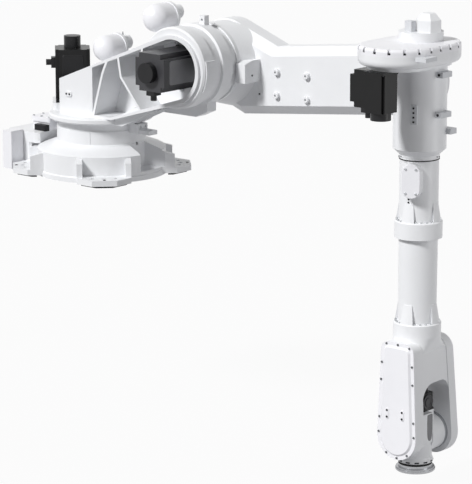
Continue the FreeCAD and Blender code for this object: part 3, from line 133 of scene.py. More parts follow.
def two_shades(tree, place, light, shade, size, detail=2.0, roughness=0.5):
    """Colour that drifts between two shades: noise in patches of the given size mixes them."""
    patch = add(tree, "TexNoise", {
        "Vector": place, "Scale": 1 / size, "Detail": detail, "Roughness": roughness})
    mixed = add(tree, "Mix", {
        MIX_SHARE: patch.outputs["Fac"], MIX_FIRST: linear(light), MIX_SECOND: linear(shade),
    }, data_type="RGBA")
    return mixed.outputs[MIX_RESULT]


print("white in linear light:", [round(float(v), 3) for v in linear("#ECEDEF")])

# %% [markdown]
# ## Enamelled castings
# The big parts are sand-cast iron or aluminium, filled, and sprayed with two-pack enamel. What
# the eye sees is a satin, slightly grey white with a faint orange peel about 3 mm across, on
# top of the slow unevenness of the casting, a few centimetres wide. Handling leaves very faint
# cloudy patches. One flat colour would look like plastic, so four noise layers do this: one for
# the colour, one for the gloss, and one for the height at each of the two sizes.

# %% Painted castings
CLOUD, SPECK = 0.18, 0.012


def enamel(name, light, shade, rough, peel_mm, peel_height, swell_mm, swell_height):
    """Sprayed paint: cloudy colour, orange peel and the swell of the casting. Heights in mm."""
    material, tree, place = blank(name)
    colour = two_shades(tree, place, light, shade, CLOUD, 3.0, 0.55)
    speck = add(tree, "TexNoise", {"Vector": place, "Scale": 1 / SPECK, "Detail": 2.0})
    gloss = add(tree, "MapRange", {
        "Value": speck.outputs["Fac"], "To Min": rough - 0.05, "To Max": rough + 0.06})
    peel = add(tree, "TexNoise", {"Vector": place, "Scale": 1000 / peel_mm, "Detail": 1.0})
    swell = add(tree, "TexNoise", {"Vector": place, "Scale": 1000 / swell_mm, "Detail": 1.0})
    wide = add(tree, "Bump", {
        "Height": swell.outputs["Fac"], "Strength": 0.6, "Distance": swell_height / 1000})
    fine = add(tree, "Bump", {
        "Height": peel.outputs["Fac"], "Strength": 0.5, "Distance": peel_height / 1000,
        "Normal": wide.outputs["Normal"]})
    finish(tree, add(tree, "BsdfPrincipled", {
        "Base Color": colour, "Roughness": gloss.outputs["Result"],
        "Normal": fine.outputs["Normal"], "IOR": 1.5, "Coat Weight": 0.15,
        "Coat Roughness": 0.3}))
    return material


casting = enamel("enamelled_sand_casting", "#ECEDEF", "#E4E5E7", 0.40, 3.0, 0.10, 45.0, 0.6)
cover = enamel("enamelled_pressed_cover", "#EFEFF2", "#E8E8EC", 0.34, 2.5, 0.06, 90.0, 0.3)
bracket = enamel("powder_coated_bracket", "#D6D8DB", "#CCCED2", 0.48, 2.0, 0.12, 60.0, 0.2)
print("paints:", casting.name, cover.name, bracket.name)

# %% [markdown]
# ## Motor housings and black plastic
# Servo motors are die-cast aluminium with a black electrostatic paint that keeps the sandy
# skin of the mould, so they are nearly matt with a grain of about 1 mm. The grain is drawn at
# 2 mm to show. The end caps and connectors are moulded nylon, smoother, with a soft sheen, and
# the seals are rubber, which hardly shines. All are one recipe with other numbers.

# %% Black and grey grained surfaces
PATCH = 0.05


def grained(name, light, shade, rough, grain_mm, height, gleam):
    """A surface with a fine sandy grain: noise for height and gloss, and a faint drift of shade."""
    material, tree, place = blank(name)
    colour = two_shades(tree, place, light, shade, PATCH)
    grain = add(tree, "TexNoise", {
        "Vector": place, "Scale": 1000 / grain_mm, "Detail": 2.0, "Roughness": 0.6})
    gloss = add(tree, "MapRange", {
        "Value": grain.outputs["Fac"], "To Min": rough - 0.06, "To Max": rough + 0.08})
    bump = add(tree, "Bump", {
        "Height": grain.outputs["Fac"], "Strength": 0.5, "Distance": height / 1000})
    finish(tree, add(tree, "BsdfPrincipled", {
        "Base Color": colour, "Roughness": gloss.outputs["Result"],
        "Normal": bump.outputs["Normal"], "IOR": 1.5, "Specular IOR Level": gleam}))
    return material


motor_black = grained("black_painted_die_casting", "#121213", "#0B0B0C", 0.32, 2.0, 0.15, 0.28)
motor_grey = grained("grey_painted_die_casting", "#3E3E41", "#343437", 0.36, 2.0, 0.15, 0.35)
nylon = grained("black_moulded_nylon", "#1A1A1C", "#121214", 0.34, 1.5, 0.05, 0.3)
# A mid grey for plates that paint light and shade: on the motors' flanks it is the lighter look of
# a lit flank, on the wrist's tilting body it is partly the shade on its side.
painted_light_plate_grey = grained("grey_plate_painted_light_and_shade", "#7A7A7D", "#6A6A6D", 0.30, 4.0, 0.03, 0.5)
rubber = grained("black_nitrile_rubber", "#1B1B1C", "#141415", 0.62, 1.2, 0.05, 0.2)
sole = grained("blackened_steel_plate", "#2B2B2D", "#1F1F21", 0.50, 3.0, 0.08, 0.3)
print("dark finishes:", motor_black.name, motor_grey.name, nylon.name, rubber.name)

# %% [markdown]
# ## Bare steel
# The tool flange is turned on a lathe and polished, so fine rings run round its axis: a feed
# mark of about 0.3 mm, drawn every 1.5 mm to show. Bearing rings are ground, and screws are
# plated or blackened, and both keep a random fine scratch. A metal keeps the default IOR, and
# its colour is the colour of its reflection. An anisotropic shader could stretch the shine
# along the rings, but rings in the height also show at the edge of the highlight.

# %% Turned and ground steel
# At scale 1 a Wave node repeats every 0.314 m, which is two pi divided by 20.
WAVE_PERIOD_MM = 314.0
# Depths of a ring and a scratch, the width of a scratch, and the sizes of the stains, in m.
RING_DEPTH, SCRATCH_DEPTH, SCRATCH, TURNED_STAIN, GROUND_STAIN = 1e-4, 5e-5, 0.004, 0.02, 0.03


def metal(tree, colour, gloss, bump):
    """The metal shader that both kinds of steel end in."""
    finish(tree, add(tree, "BsdfPrincipled", {
        "Base Color": colour, "Metallic": 1.0, "Roughness": gloss.outputs["Result"],
        "Normal": bump.outputs["Normal"]}))


def turned_steel(name, light, shade, rough, centre, ring_mm):
    """Lathe rings: the distance from an upright axis drives a sine wave, in height and gloss."""
    material, tree, place = blank(name)
    shifted = add(tree, "Mapping", {"Vector": place, "Location": (-centre[0], -centre[1], 0.0)})
    rings = add(tree, "TexWave", {
        "Vector": shifted.outputs["Vector"], "Scale": WAVE_PERIOD_MM / ring_mm,
        "Distortion": 0.3}, wave_type="RINGS", rings_direction="Z")
    gloss = add(tree, "MapRange", {
        "Value": rings.outputs["Fac"], "To Min": rough, "To Max": rough + 0.12})
    bump = add(tree, "Bump", {
        "Height": rings.outputs["Fac"], "Strength": 0.35, "Distance": RING_DEPTH})
    metal(tree, two_shades(tree, place, light, shade, TURNED_STAIN, 3.0), gloss, bump)
    return material


def ground_steel(name, light, shade, rough):
    """Ground or plated metal: stretched noise for the scratches, and a soft stain of colour."""
    material, tree, place = blank(name)
    drawn = add(tree, "Mapping", {"Vector": place, "Scale": (1.0, 1.0, 12.0)})
    scratch = add(tree, "TexNoise", {
        "Vector": drawn.outputs["Vector"], "Scale": 1 / SCRATCH, "Detail": 3.0})
    gloss = add(tree, "MapRange", {
        "Value": scratch.outputs["Fac"], "To Min": rough - 0.06, "To Max": rough + 0.08})
    bump = add(tree, "Bump", {
        "Height": scratch.outputs["Fac"], "Strength": 0.2, "Distance": SCRATCH_DEPTH})
    metal(tree, two_shades(tree, place, light, shade, GROUND_STAIN), gloss, bump)
    return material


flange_steel = turned_steel("polished_turned_steel", "#B4B5B8", "#9C9DA0", 0.20, FOREARM, 1.5)
bearing_steel = ground_steel("ground_bearing_steel", "#B9BBBE", "#A9ABAF", 0.32)
zinc = ground_steel("zinc_plated_screw", "#C2C4C6", "#AEB0B3", 0.34)
black_screw = ground_steel("black_oxide_screw", "#3A3A3D", "#2C2C2E", 0.40)
cover_screw = ground_steel("stainless_cover_screw", "#77787B", "#626366", 0.36)
print("metals:", flange_steel.name, bearing_steel.name, zinc.name)

# %% [markdown]
# ## Dressing the CAD parts
# Each CAD node gets the finish of the real part. Most of the robot is one paint, so the list
# names only the parts that differ, and every other node is an enamelled casting.

# %% Finishes of the CAD nodes
DRESS = {
    cover: ["near_wrist_cover", "far_wrist_cover", "hatch_lid", "shoulder_cover", "elbow_cover",
            "rear_lid", "panel_box", "belt_lid", "gland_box", "cable_elbow_low",
            "cable_elbow_high"],
    bracket: ["housing_clamps", "screw_plate", "case_bracket", "junction_box"],
    motor_black: ["waist_motor", "elbow_motor", "roll_motor", "hand_motor"],
    motor_grey: ["shoulder_motor"],
    nylon: ["waist_motor_cap", "waist_motor_plug", "shoulder_motor_cap", "shoulder_motor_plug",
            "elbow_motor_plug", "roll_motor_cap", "hand_motor_cap"],
    rubber: ["tool_seat"],
    sole: ["sole_plates"],
    flange_steel: ["tool_flange"],
    bearing_steel: ["tilt_reducer"],
}
finish_of = {node: material for material, nodes in DRESS.items() for node in nodes}
for name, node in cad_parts.items():
    node.data.materials.clear()
    node.data.materials.append(finish_of.get(name, casting))
print("dressed:", len(finish_of), "special finishes of", len(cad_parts))

# %% [markdown]
# ## One surface maker
# New parts are surfaces of two parameters. A grid of points, rows along one parameter and
# columns round the other, becomes quads in one step, and each end row closes onto a pole.
# Blender's own cylinders could be placed one by one, but index arrays build all the screws of
# a cover as one mesh, quicker and with no seam left open.

# %% From a grid of points to a closed mesh


def shells(grids):
    """Many closed tubes as one mesh, from grids of shape (pieces, rows, columns, 3).

    Neighbours in both directions make quads, and the mean of each end row closes that end.
    """
    pieces, rows, columns = grids.shape[:3]
    poles = np.stack([grids[:, 0].mean(axis=1), grids[:, -1].mean(axis=1)], axis=1)
    points = np.concatenate([grids.reshape(pieces, -1, 3), poles], axis=1)
    row, column = np.meshgrid(np.arange(rows - 1), np.arange(columns), indexing="ij")
    after = (column + 1) % columns
    quads = np.stack([row * columns + column, row * columns + after,
                      (row + 1) * columns + after, (row + 1) * columns + column], axis=-1)
    one = np.arange(columns)
    two = (one + 1) % columns
    last, pole = (rows - 1) * columns, rows * columns
    start = np.stack([two, one, np.full(columns, pole)], axis=-1)
    end = np.stack([last + one, last + two, np.full(columns, pole + 1)], axis=-1)
    shift = (np.arange(pieces) * (pole + 2))[:, None, None]
    faces = (quads.reshape(-1, 4) + shift).reshape(-1, 4).tolist()
    faces += (start + shift).reshape(-1, 3).tolist() + (end + shift).reshape(-1, 3).tolist()
    return points.reshape(-1, 3), faces


def piece(name, points, faces, material, body, slot, smooth=30.0):
    """A finished mesh object in its place, with its paint and its moving body. The slot is not
    used.
    """
    mesh = bpy.data.meshes.new(name)
    mesh.from_pydata([tuple(p) for p in points], [], faces)
    mesh.validate()
    mesh.shade_smooth()
    made = bpy.data.objects.new(name, mesh)
    bpy.context.scene.collection.objects.link(made)
    mesh.materials.append(material)
    with bpy.context.temp_override(active_object=made, selected_editable_objects=[made]):
        bpy.ops.object.shade_smooth_by_angle(angle=math.radians(smooth))
    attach(made, body)
    print(name, len(mesh.polygons), "faces on", body)
    return made


# %% [markdown]
# ## Socket-head screws
# Every cover on the robot is held by hexagon-socket screws. A screw head is a short cylinder
# with a bevelled rim and a six-sided socket sunk in it. Twelve columns round the axis give the
# hexagon its corners exactly: the socket's radius is its flat distance divided by the cosine
# of the angle from the middle of the nearest flat. One head is computed once and then carried
# to each seat by a frame of three directions, so all the screws of a cover are one mesh.

# %% Screw heads as one array
COLUMNS = 12
# How far a piece reaches into what it sits on, so that no gap shows under it.
SINK = 0.001
# Shares of a head's radius: the socket's flats and the end of the bevel.
SOCKET, BEVEL = 0.5, 0.88
# Shares of a head's height: where the bevel starts, and the floor of the socket.
BEVEL_START, SOCKET_FLOOR = 0.85, 0.4


def frames_along(axes):
    """Two directions square to each axis: cross products with the least aligned world axis."""
    axes = axes / np.linalg.norm(axes, axis=1, keepdims=True)
    helper = np.eye(3)[np.argmin(np.abs(axes), axis=1)]
    side = np.cross(axes, helper)
    side /= np.linalg.norm(side, axis=1, keepdims=True)
    return side, np.cross(axes, side), axes


def carried(local, seats, side, up, out):
    """A local shape at many seats: x along side, y along up and z along out, plus the seat."""
    basis = np.stack([side, up, out], axis=1)
    return np.einsum("rcj,njk->nrck", local, basis) + np.asarray(seats)[:, None, None, :]


def socket_screws(name, seats, axes, radius, height, material, body, slot="flange_steel"):
    """Heads of socket screws: profile radii times a circle, the hexagon inside, at each seat."""
    angle = np.arange(COLUMNS) * 2 * math.pi / COLUMNS
    flat = SOCKET * radius / np.cos((angle % (math.pi / 3)) - math.pi / 6)
    circle = np.full(COLUMNS, radius)
    rings = np.stack([circle, circle, BEVEL * circle, flat, flat])
    level = np.array([-SINK, BEVEL_START * height, height, height, SOCKET_FLOOR * height])
    level = level[:, None]
    local = np.stack([rings * np.cos(angle), rings * np.sin(angle), level + 0 * rings], axis=-1)
    seats = np.asarray(seats, dtype=float)
    axes = np.broadcast_to(np.asarray(axes, dtype=float), seats.shape)
    grids = carried(local, seats, *frames_along(axes))
    return piece(name, *shells(grids), material, body, slot, 25.0)


# %% [markdown]
# ## Wrist covers
# The two wrist covers are the most visible bolted parts. Their screws run round the rim in
# step with the outline: a round lower end on the tilt axis and a narrower top. Each screw could
# be placed by hand, but it is easier to walk the outline at a constant inset and to give each
# screw a share of the way. On the near cover the shares are uneven, as on the real one. The far
# cover isn't seen, and its screws are at equal steps.

# %% Screws of the wrist covers
LOBE_R, RIM_INSET, RIM_DEPTH = 0.095, 0.0078, 0.007
# Shares of the way round, from the +X side: two pairs low on the sides, then a bare stretch.
NEAR_STEPS = np.array([0.010, 0.061, 0.196, 0.260, 0.327, 0.377, 0.426, 0.503,
                       0.565, 0.700, 0.754, 0.836, 0.884, 0.931])
FAR_STEPS = (np.arange(16) + 0.5) / 16


def lobe_path(lift, half, corner, drop, inset, shares):
    """Points at given shares round a lobe: for each direction, the outermost of three circles."""
    high = face("wrist_fork", 2) - drop - corner
    centres = np.array([[0.0, TILT_Z + lift], [half - corner, high], [corner - half, high]])
    radii = np.array([LOBE_R, corner, corner]) - inset
    turn = np.linspace(0, 2 * math.pi, 2881)[:-1]
    normal = np.stack([np.cos(turn), np.sin(turn)], axis=-1)
    best = np.argmax(centres @ normal.T + radii[:, None], axis=0)
    points = centres[best] + radii[best][:, None] * normal
    points = np.concatenate([points, points[:1]])
    steps = np.linalg.norm(np.diff(points, axis=0), axis=1)
    length = np.concatenate([[0], np.cumsum(steps)])
    spots = shares * length[-1]
    return np.stack([np.interp(spots, length, points[:, k]) for k in (0, 1)], axis=-1)


def cover_screws(name, lobe, y, out, shares):
    """Screws on one wrist cover: the lobe's path in X and Z, at the height of its rim in Y."""
    path = lobe_path(*lobe, RIM_INSET, shares)
    seats = np.stack([FOREARM_X + path[:, 0], np.full(len(path), y), path[:, 1]], axis=-1)
    return socket_screws(name, seats, out, 0.0046, 0.0035, cover_screw, "forearm_tube")


near_face_y = face("near_wrist_cover", 1, False)
far_rim_y = face("far_wrist_cover", 1) - RIM_DEPTH
near_lobe, far_lobe = (0.023, 0.080, 0.038, 0.014), (0.0, 0.065, 0.060, 0.026)
cover_screws("near_cover_screws", near_lobe, near_face_y + RIM_DEPTH, -Y, NEAR_STEPS)
cover_screws("far_cover_screws", far_lobe, far_rim_y, Y, FAR_STEPS)

# %% [markdown]
# ## Small pads on the near cover
# Two pairs of screws sit on thin raised pads in the middle of the near cover. A pad is a flat
# lozenge: a stadium outline swept up to a slightly smaller one, which gives its rim a bevel. A
# bevel modifier could do that too, but three rings of points are enough for so small a rim.

# %% Pads and their screws


def stadium_pads(name, centres, axes, ups, length, width, height, material, body, slot):
    """Flat pads: a stadium outline at the foot, the same at the shoulder, a smaller one on top."""
    angle = np.linspace(0, 2 * math.pi, 33)[:-1]
    half = (length - width) / 2
    shift = np.where(np.sin(angle) >= 0, half, -half)
    rings = []
    for scale, level in ((1.0, -SINK), (1.0, 0.7 * height), (0.86, height)):
        radius = width / 2 * scale
        rings.append(np.stack([
            radius * np.cos(angle), radius * np.sin(angle) + shift * (0.6 + 0.4 * scale),
            np.full(angle.shape, level)], axis=-1))
    centres = np.asarray(centres, dtype=float)
    out = np.broadcast_to(np.asarray(axes, dtype=float), centres.shape)
    out = out / np.linalg.norm(out, axis=1, keepdims=True)
    up = np.broadcast_to(np.asarray(ups, dtype=float), centres.shape)
    up = up / np.linalg.norm(up, axis=1, keepdims=True)
    grids = carried(np.stack(rings), centres, np.cross(up, out), up, out)
    return piece(name, *shells(grids), material, body, slot, 25.0)


PAD_LENGTH, PAD_WIDTH, PAD_HEIGHT, PAD_SCREW_STEP = 0.046, 0.018, 0.002, 0.0135
pads = [(x, near_face_y, z) for x, z in ((1.6676, -0.7408), (1.7417, -0.7386))]
stadium_pads("near_cover_pads", pads, -Y, Z, PAD_LENGTH, PAD_WIDTH, PAD_HEIGHT, cover,
             "forearm_tube", "cover_paint")
seats = [(x, y - PAD_HEIGHT, z + step) for x, y, z in pads
         for step in (-PAD_SCREW_STEP, PAD_SCREW_STEP)]
socket_screws("near_pad_screws", seats, -Y, 0.0042, 0.003, black_screw, "forearm_tube")

# %% [markdown]
# ## Forearm flanges
# The hanging forearm is two tubes bolted flange to flange. Its bolts stand in the four pockets
# between the ribs, four to a pocket, on a circle midway between the tube and the rim.

# %% Flange bolts
BOLT_CIRCLE_R = 0.0862
in_pocket = (-22.5, -7.5, 7.5, 22.5)
pocket_angles = [52 + 90 * quarter + step for quarter in range(4) for step in in_pocket]
for name, node, depth in (("upper_flange_bolts", "upper_tube", 0.068),
                          ("lower_flange_bolts", "lower_tube", 0.053)):
    seats = BOLT_CIRCLE_R * heading(pocket_angles)
    seats += (FOREARM_X, 0, face(node, 2, False) + depth)
    socket_screws(name, seats, Z, 0.0046, 0.005, zinc, "forearm_tube")

# %% [markdown]
# ## Service hatch
# A flat oval hatch on the tube gives access to the cables. It faces about 20 degrees round
# from the motor side and has four screws, with three small plugs below it on the tube.

# %% Hatch screws and plugs
HATCH_FACE_R, TUBE_FACE_R = 0.1135, 0.0772
# Half the distance between the hatch screws, across and upright.
HATCH_ACROSS, HATCH_UP = 0.021, 0.048
hatch_out, hatch_side = heading(-70), heading(20)
hatch_mid = middle("hatch_lid", 2)
seats = [FOREARM + hatch_out * HATCH_FACE_R + hatch_side * across + (0, 0, hatch_mid + rise)
         for across in (-HATCH_ACROSS, HATCH_ACROSS) for rise in (-HATCH_UP, HATCH_UP)]
socket_screws("hatch_screws", seats, hatch_out, 0.0050, 0.003, zinc, "forearm_tube")
plug_out = heading(-84)
seats = [FOREARM + plug_out * TUBE_FACE_R + (0, 0, z) for z in (0.108, 0.121, 0.134)]
socket_screws("tube_plugs", seats, plug_out, 0.0040, 0.003, black_screw, "forearm_tube")

# %% [markdown]
# ## Forearm housing
# The drive case on top of the forearm has a lid held by screws that sit in slots all round its
# rim. The slots are in the CAD lid, spaced evenly along the stadium-shaped edge, so the screws
# walk the same stadium with the same step. The housing's foot has a pair of small screws on
# each quarter, and a plate on its side and the clamps have theirs.

# %% Screws of the lid
CASE_R, CASE_SPAN, LID_SLOTS, SLOT_DEPTH, LID_SCREW_R = 0.157, 0.142, 21, 0.021, 0.1515


def stadium_walk(radius, span, count):
    """Points at equal steps of the case's edge, a stadium whose straight sides have length span.

    The way goes along one side, round the far end, back along the other side and round again.
    """
    bend = math.pi * CASE_R
    way = np.arange(count) * 2 * (span + bend) / count
    parts = [way < span, way < span + bend, way < 2 * span + bend, way >= 2 * span + bend]
    angle = np.select(parts, [0 * way, (way - span) / CASE_R, 0 * way + math.pi,
                              math.pi + (way - 2 * span - bend) / CASE_R])
    along = np.select(parts, [way - span, 0 * way, span + bend - way, 0 * way - span])
    return FOREARM + along[:, None] * Y + radius * heading(np.degrees(angle))


seats = stadium_walk(LID_SCREW_R, CASE_SPAN, LID_SLOTS)
seats[:, 2] = face("belt_lid", 2) - SLOT_DEPTH
# The heads are black partly as painted shade: they darken the slots in the lid that they sit in.
socket_screws("lid_screws", seats, Z, 0.0048, 0.007, black_screw, "forearm_housing")

# %% Plate screws, rim screws and clamp screws
PLATE_FACE_R, PLATE_DROP, FOOT_RIM_R, FOOT_RIM_Z = 0.113, 0.072, 0.1048, 0.292
plate_out = heading(-66)
seats = [FOREARM + plate_out * PLATE_FACE_R + (0, 0, ELBOW.z - PLATE_DROP + z)
         for z in (-0.027, -0.009, 0.009, 0.027)]
socket_screws("plate_screws", seats, plate_out, 0.0042, 0.003, black_screw, "forearm_housing")
rim_out = heading([turn + pair for turn in (-90, 0, 90, 180) for pair in (-12, -6)])
seats = FOREARM + rim_out * FOOT_RIM_R + (0, 0, FOOT_RIM_Z)
socket_screws("housing_rim_screws", seats, rim_out, 0.0030, 0.0015, cover_screw,
              "forearm_housing")
clamp_x = FOREARM_X + 0.112
seats = [(clamp_x, -0.031, ELBOW.z + 0.082), (clamp_x, -0.036, ELBOW.z - 0.074)]
socket_screws("clamp_screws", seats, -Y, 0.0052, 0.003, black_screw, "forearm_housing")

# %% [markdown]
# ## Motor bolts
# A servo motor is held by four screws in the notches of its square flange, and the notches run
# the whole length of the body so that a long key reaches them. The heads are large and black.

# %% Bolts in the motor notches
WAIST_MOTOR_X = -0.168
# Half the width of each motor's square body.
HALF = {"waist": 0.0745, "shoulder": 0.0785, "elbow": 0.075, "roll": 0.0485, "hand": 0.042}
slant, across = (X + Y) * math.sqrt(0.5), (Y - X) * math.sqrt(0.5)


def motor_bolts(motor, centre, out, u, v, notch, radius, body):
    """Four heads, half a notch in from the flange's corners, where the flange ends.

    The flange is a twelfth of the motor's width thick.
    """
    reach = HALF[motor] - notch / 2
    top = np.array(centre) + out * HALF[motor] / 6
    seats = [top + reach * (a * u + b * v) for a in (-1, 1) for b in (-1, 1)]
    return socket_screws(motor + "_motor_bolts", seats, out, radius, 0.9 * radius, black_screw,
                         body)


motor_bolts("waist", (WAIST_MOTOR_X, 0, face("waist_motor", 2, False)), Z, slant, across,
            0.014, 0.006, "column")
motor_bolts("shoulder", (SHOULDER.x, face("shoulder_motor", 1), SHOULDER.z), -Y, X, Z,
            0.020, 0.008, "column")
motor_bolts("elbow", (ELBOW.x, face("elbow_motor", 1), ELBOW.z), -Y, X, Z,
            0.020, 0.008, "forearm_housing")
motor_bolts("roll", (middle("roll_motor", 0), middle("roll_motor", 1), face("roll_motor", 2)),
            -Z, X, Y, 0.010, 0.0042, "forearm_housing")
motor_bolts("hand", (middle("hand_motor", 0), middle("hand_motor", 1),
                     face("hand_motor", 2, False)), Z, X, Y, 0.008, 0.0034, "wrist_tilt")

# %% [markdown]
# ## Column
# Inside the column's open window the heads of the reducer bolts show round the motor, on the
# back wall, under the same paint as the casting. Some places round the motor are taken by ribs,
# so the angles are a list. The low pad on the column's flank carries two small screws.

# %% Reducer bolts and pad screws


def upright_ring(centre, y, radius, angles):
    """Points on a circle in the XZ plane: the centre plus radius times cosine and sine."""
    turn = np.radians(np.asarray(angles, dtype=float))
    return np.stack([centre.x + radius * np.cos(turn), np.full(turn.shape, y),
                     centre.z + radius * np.sin(turn)], axis=-1)


REDUCER_BOLT_R, PAD_Y, PAD_Z = 0.119, -0.155, 0.354
free_angles = [-118, -72, 62, 80, 98, 116, 134, 205, 222]
seats = upright_ring(SHOULDER, face("shoulder_motor", 1), REDUCER_BOLT_R, free_angles)
socket_screws("reducer_bolts", seats, -Y, 0.0115, 0.009, casting, "column", "casting_paint")
seats = [(x, PAD_Y, PAD_Z) for x in (-0.0570, -0.0390)]
socket_screws("side_pad_screws", seats, -Y, 0.0042, 0.0025, black_screw, "column")

# %% [markdown]
# ## Arm
# The round covers over the arm's two joints are held by eight screws each, on the far side. On
# the near side there is a screw in the side of the arm's stop block, and a small plug below.

# %% Screws of the arm
ARM_PLUG_X, ARM_PLUG_Z = 0.7517, 0.3998
eighths = np.arange(8) * 45 + 22.5
for name, centre, radius in (("shoulder_cover_screws", SHOULDER, 0.127),
                             ("elbow_cover_screws", ELBOW, 0.0975)):
    seats = upright_ring(centre, face("arm_casting", 1), radius, eighths)
    socket_screws(name, seats, Y, 0.0060, 0.004, zinc, "upper_arm")
stop_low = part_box("arm_stop")[0]
seats = [(face("arm_stop", 0), stop_low[1] + 0.045, stop_low[2] + 0.030)]
socket_screws("arm_stop_screw", seats, X, 0.0042, 0.002, cover_screw, "upper_arm")
seats = [(ARM_PLUG_X, face("arm_stop", 1), ARM_PLUG_Z)]
socket_screws("arm_plug", seats, -Y, 0.0040, 0.002, black_screw, "upper_arm")

# %% [markdown]
# ## Base
# The cable box behind the base has a bolted lid, the waist stop is held by two screws, and a
# jacking screw sits at the tip of each foot, outside its three bolt holes.

# %% Screws of the base
LID_EDGE, JACK_R, JACK_Z = 0.010, 0.369, 0.034
STOP_X, STOP_DROP, STOP_Y = 0.245, 0.012, 0.018
lid_low, lid_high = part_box("rear_lid")
x_marks, y_marks = np.meshgrid(np.linspace(lid_low[0] + LID_EDGE, lid_high[0] - LID_EDGE, 3),
                               np.linspace(lid_low[1] + LID_EDGE, lid_high[1] - LID_EDGE, 3))
# Nine places in three rows, without the one in the middle.
outer = np.arange(9) != 4
seats = np.stack([x_marks.ravel()[outer], y_marks.ravel()[outer], np.full(8, lid_high[2])], -1)
socket_screws("rear_lid_screws", seats, Z, 0.0050, 0.004, zinc, "base")
seats = JACK_R * heading([45, 135, 225, 315]) + (0, 0, JACK_Z)
socket_screws("foot_jack_screws", seats, Z, 0.0060, 0.002, black_screw, "base")
seats = [(STOP_X, y, face("waist_stop", 2) - STOP_DROP) for y in (-STOP_Y, STOP_Y)]
socket_screws("waist_stop_screws", seats, X, 0.0055, 0.004, zinc, "base")

# %% [markdown]
# ## Parting line and grease fitting
# A thin ridge runs down the neck of the base where the two halves of its mould met, and a
# grease nipple with its collar stands on the mount of the lower cable elbow. Both are
# straight round rods: a circle carried along a line. A curve with a bevel would do as well,
# but the same grid maker closes the ends and gives them their small chamfer.

# %% Rods and seams
ROD_COLUMNS = 16


def rods(name, starts, ends, radii, material, body, slot):
    """Straight round rods: a circle at the start, a bevel in, a bevel before the end, the end."""
    starts, ends = np.asarray(starts, dtype=float), np.asarray(ends, dtype=float)
    radii = np.asarray(radii, dtype=float)[:, None, None]
    span = ends - starts
    length = np.linalg.norm(span, axis=1)[:, None]
    side, up, out = frames_along(span)
    angle = np.arange(ROD_COLUMNS)[None, :, None] * 2 * math.pi / ROD_COLUMNS
    circle = np.cos(angle) * side[:, None, :] + np.sin(angle) * up[:, None, :]
    bevel = 0.2 * radii[:, 0]
    levels = [(0 * length, 0.8), (bevel, 1.0), (length - bevel, 1.0), (length, 0.8)]
    grids = np.stack([starts[:, None, :] + (out * level)[:, None, :] + circle * radii * scale
                      for level, scale in levels], axis=1)
    return piece(name, *shells(grids), material, body, slot, 40.0)


NECK_R, SEAM_ANGLE = 0.192, -61.7
seam = NECK_R * heading(SEAM_ANGLE)
rods("neck_parting_line", [seam + (0, 0, 0.153)], [seam + (0, 0, 0.206)], [0.0022], casting,
     "base", "casting_paint")
nipple_x, nipple_y = 0.047, 0.090
rods("grease_fitting", [(nipple_x, nipple_y, 0.572), (nipple_x, nipple_y, 0.590)],
     [(nipple_x, nipple_y, 0.604), (nipple_x, nipple_y, 0.596)], [0.0024, 0.0042], zinc,
     "column", "flange_steel")

# %% [markdown]
# ## Joint seals and painted shade
# Each turning joint is closed by a black lip seal that shows as a thin dark line, here under
# the forearm housing and under the bolted flange. There the thin black rings are partly seals
# and partly painted shade, the shade that the housing and the flange cast on the tube below.
# A seal is a small circle carried round a large one. It closes on itself in both directions, so
# it needs no poles.

# %% Seal rings
AROUND, ACROSS = 96, 8


def seals(name, centres, radii, thick, material, body, slot):
    """Rings about upright axes: a big circle times R + r cos v, at the height r sin v."""
    u = np.linspace(0, 2 * math.pi, AROUND + 1)[:-1, None]
    v = np.linspace(0, 2 * math.pi, ACROSS + 1)[None, :-1]
    points = []
    for centre, radius in zip(centres, radii):
        reach = radius + thick * np.cos(v)
        points.append(np.stack([
            centre[0] + reach * np.cos(u), centre[1] + reach * np.sin(u),
            centre[2] + thick * np.sin(v) + 0 * u], axis=-1).reshape(-1, 3))
    a, b = np.meshgrid(np.arange(AROUND), np.arange(ACROSS), indexing="ij")
    next_a, next_b = (a + 1) % AROUND, (b + 1) % ACROSS
    quads = np.stack([a * ACROSS + b, next_a * ACROSS + b, next_a * ACROSS + next_b,
                      a * ACROSS + next_b], axis=-1).reshape(-1, 4)
    faces = np.concatenate([quads + AROUND * ACROSS * k for k in range(len(radii))])
    return piece(name, np.concatenate(points), faces.tolist(), material, body, slot, 60.0)


SEAL_R, SEAL_THICK, SEAL_DROP = (0.0785, 0.0790), 0.0020, 0.0022
seal_and_shade_places = [(FOREARM_X, 0.0, face(node, 2, False) - SEAL_DROP)
               for node in ("elbow_casting", "upper_tube")]
# These black rings are partly seals and partly painted shade under the housing and the flange.
seals("forearm_seals_and_painted_shade", seal_and_shade_places, SEAL_R, SEAL_THICK, rubber, "forearm_tube",
      "seal_rubber")

# %% [markdown]
# ## Above the tool flange
# A ring of bolt pockets runs round the foot of the wrist, just above the seal. Each shows as a
# short dark dash of shade, because it is wide and low. They could be cut out of the foot, but at
# their size flat dark lozenges that lie against it, long side level, look the same: their black
# is painted shade.

# %% Painted shade of the pockets round the wrist foot
FOOT_R, POCKET_RISE = 0.0704, 0.0055
out = heading(np.arange(12) * 30 + 12)
level = np.stack([-out[:, 1], out[:, 0], out[:, 2]], axis=-1)
centres = np.array([FOREARM_X, 0.0, face("tool_seat", 2) + POCKET_RISE]) + out * FOOT_R
# Black lozenges in place of the pockets: painted shade.
stadium_pads("wrist_foot_pocket_painted_shade", centres, out, level, 0.019, 0.0062, 0.0012, black_screw,
             "wrist_tilt", "flange_steel")

# %% [markdown]
# ## Smooth plates on the drives
# The sides of the shoulder, waist and elbow motors carry a smooth plate between their notches,
# and the wrist's tilting body has a grey plate whose lower end is round. The mid grey of the
# shoulder and elbow plates is painted light: a dark motor's lit flank looks lighter. The grey
# plate on the tilting body is partly the grey side of the hand motor's gearbox and partly
# painted shade on the shaded side of the housing. All are flat plates with a rolled rim. A
# superellipse gives them their outline: with a power of 2 it is an ellipse, and the higher the
# power, the squarer it gets, so one formula makes both ends.

# %% Plates with a rolled rim
ROLL = 0.0012


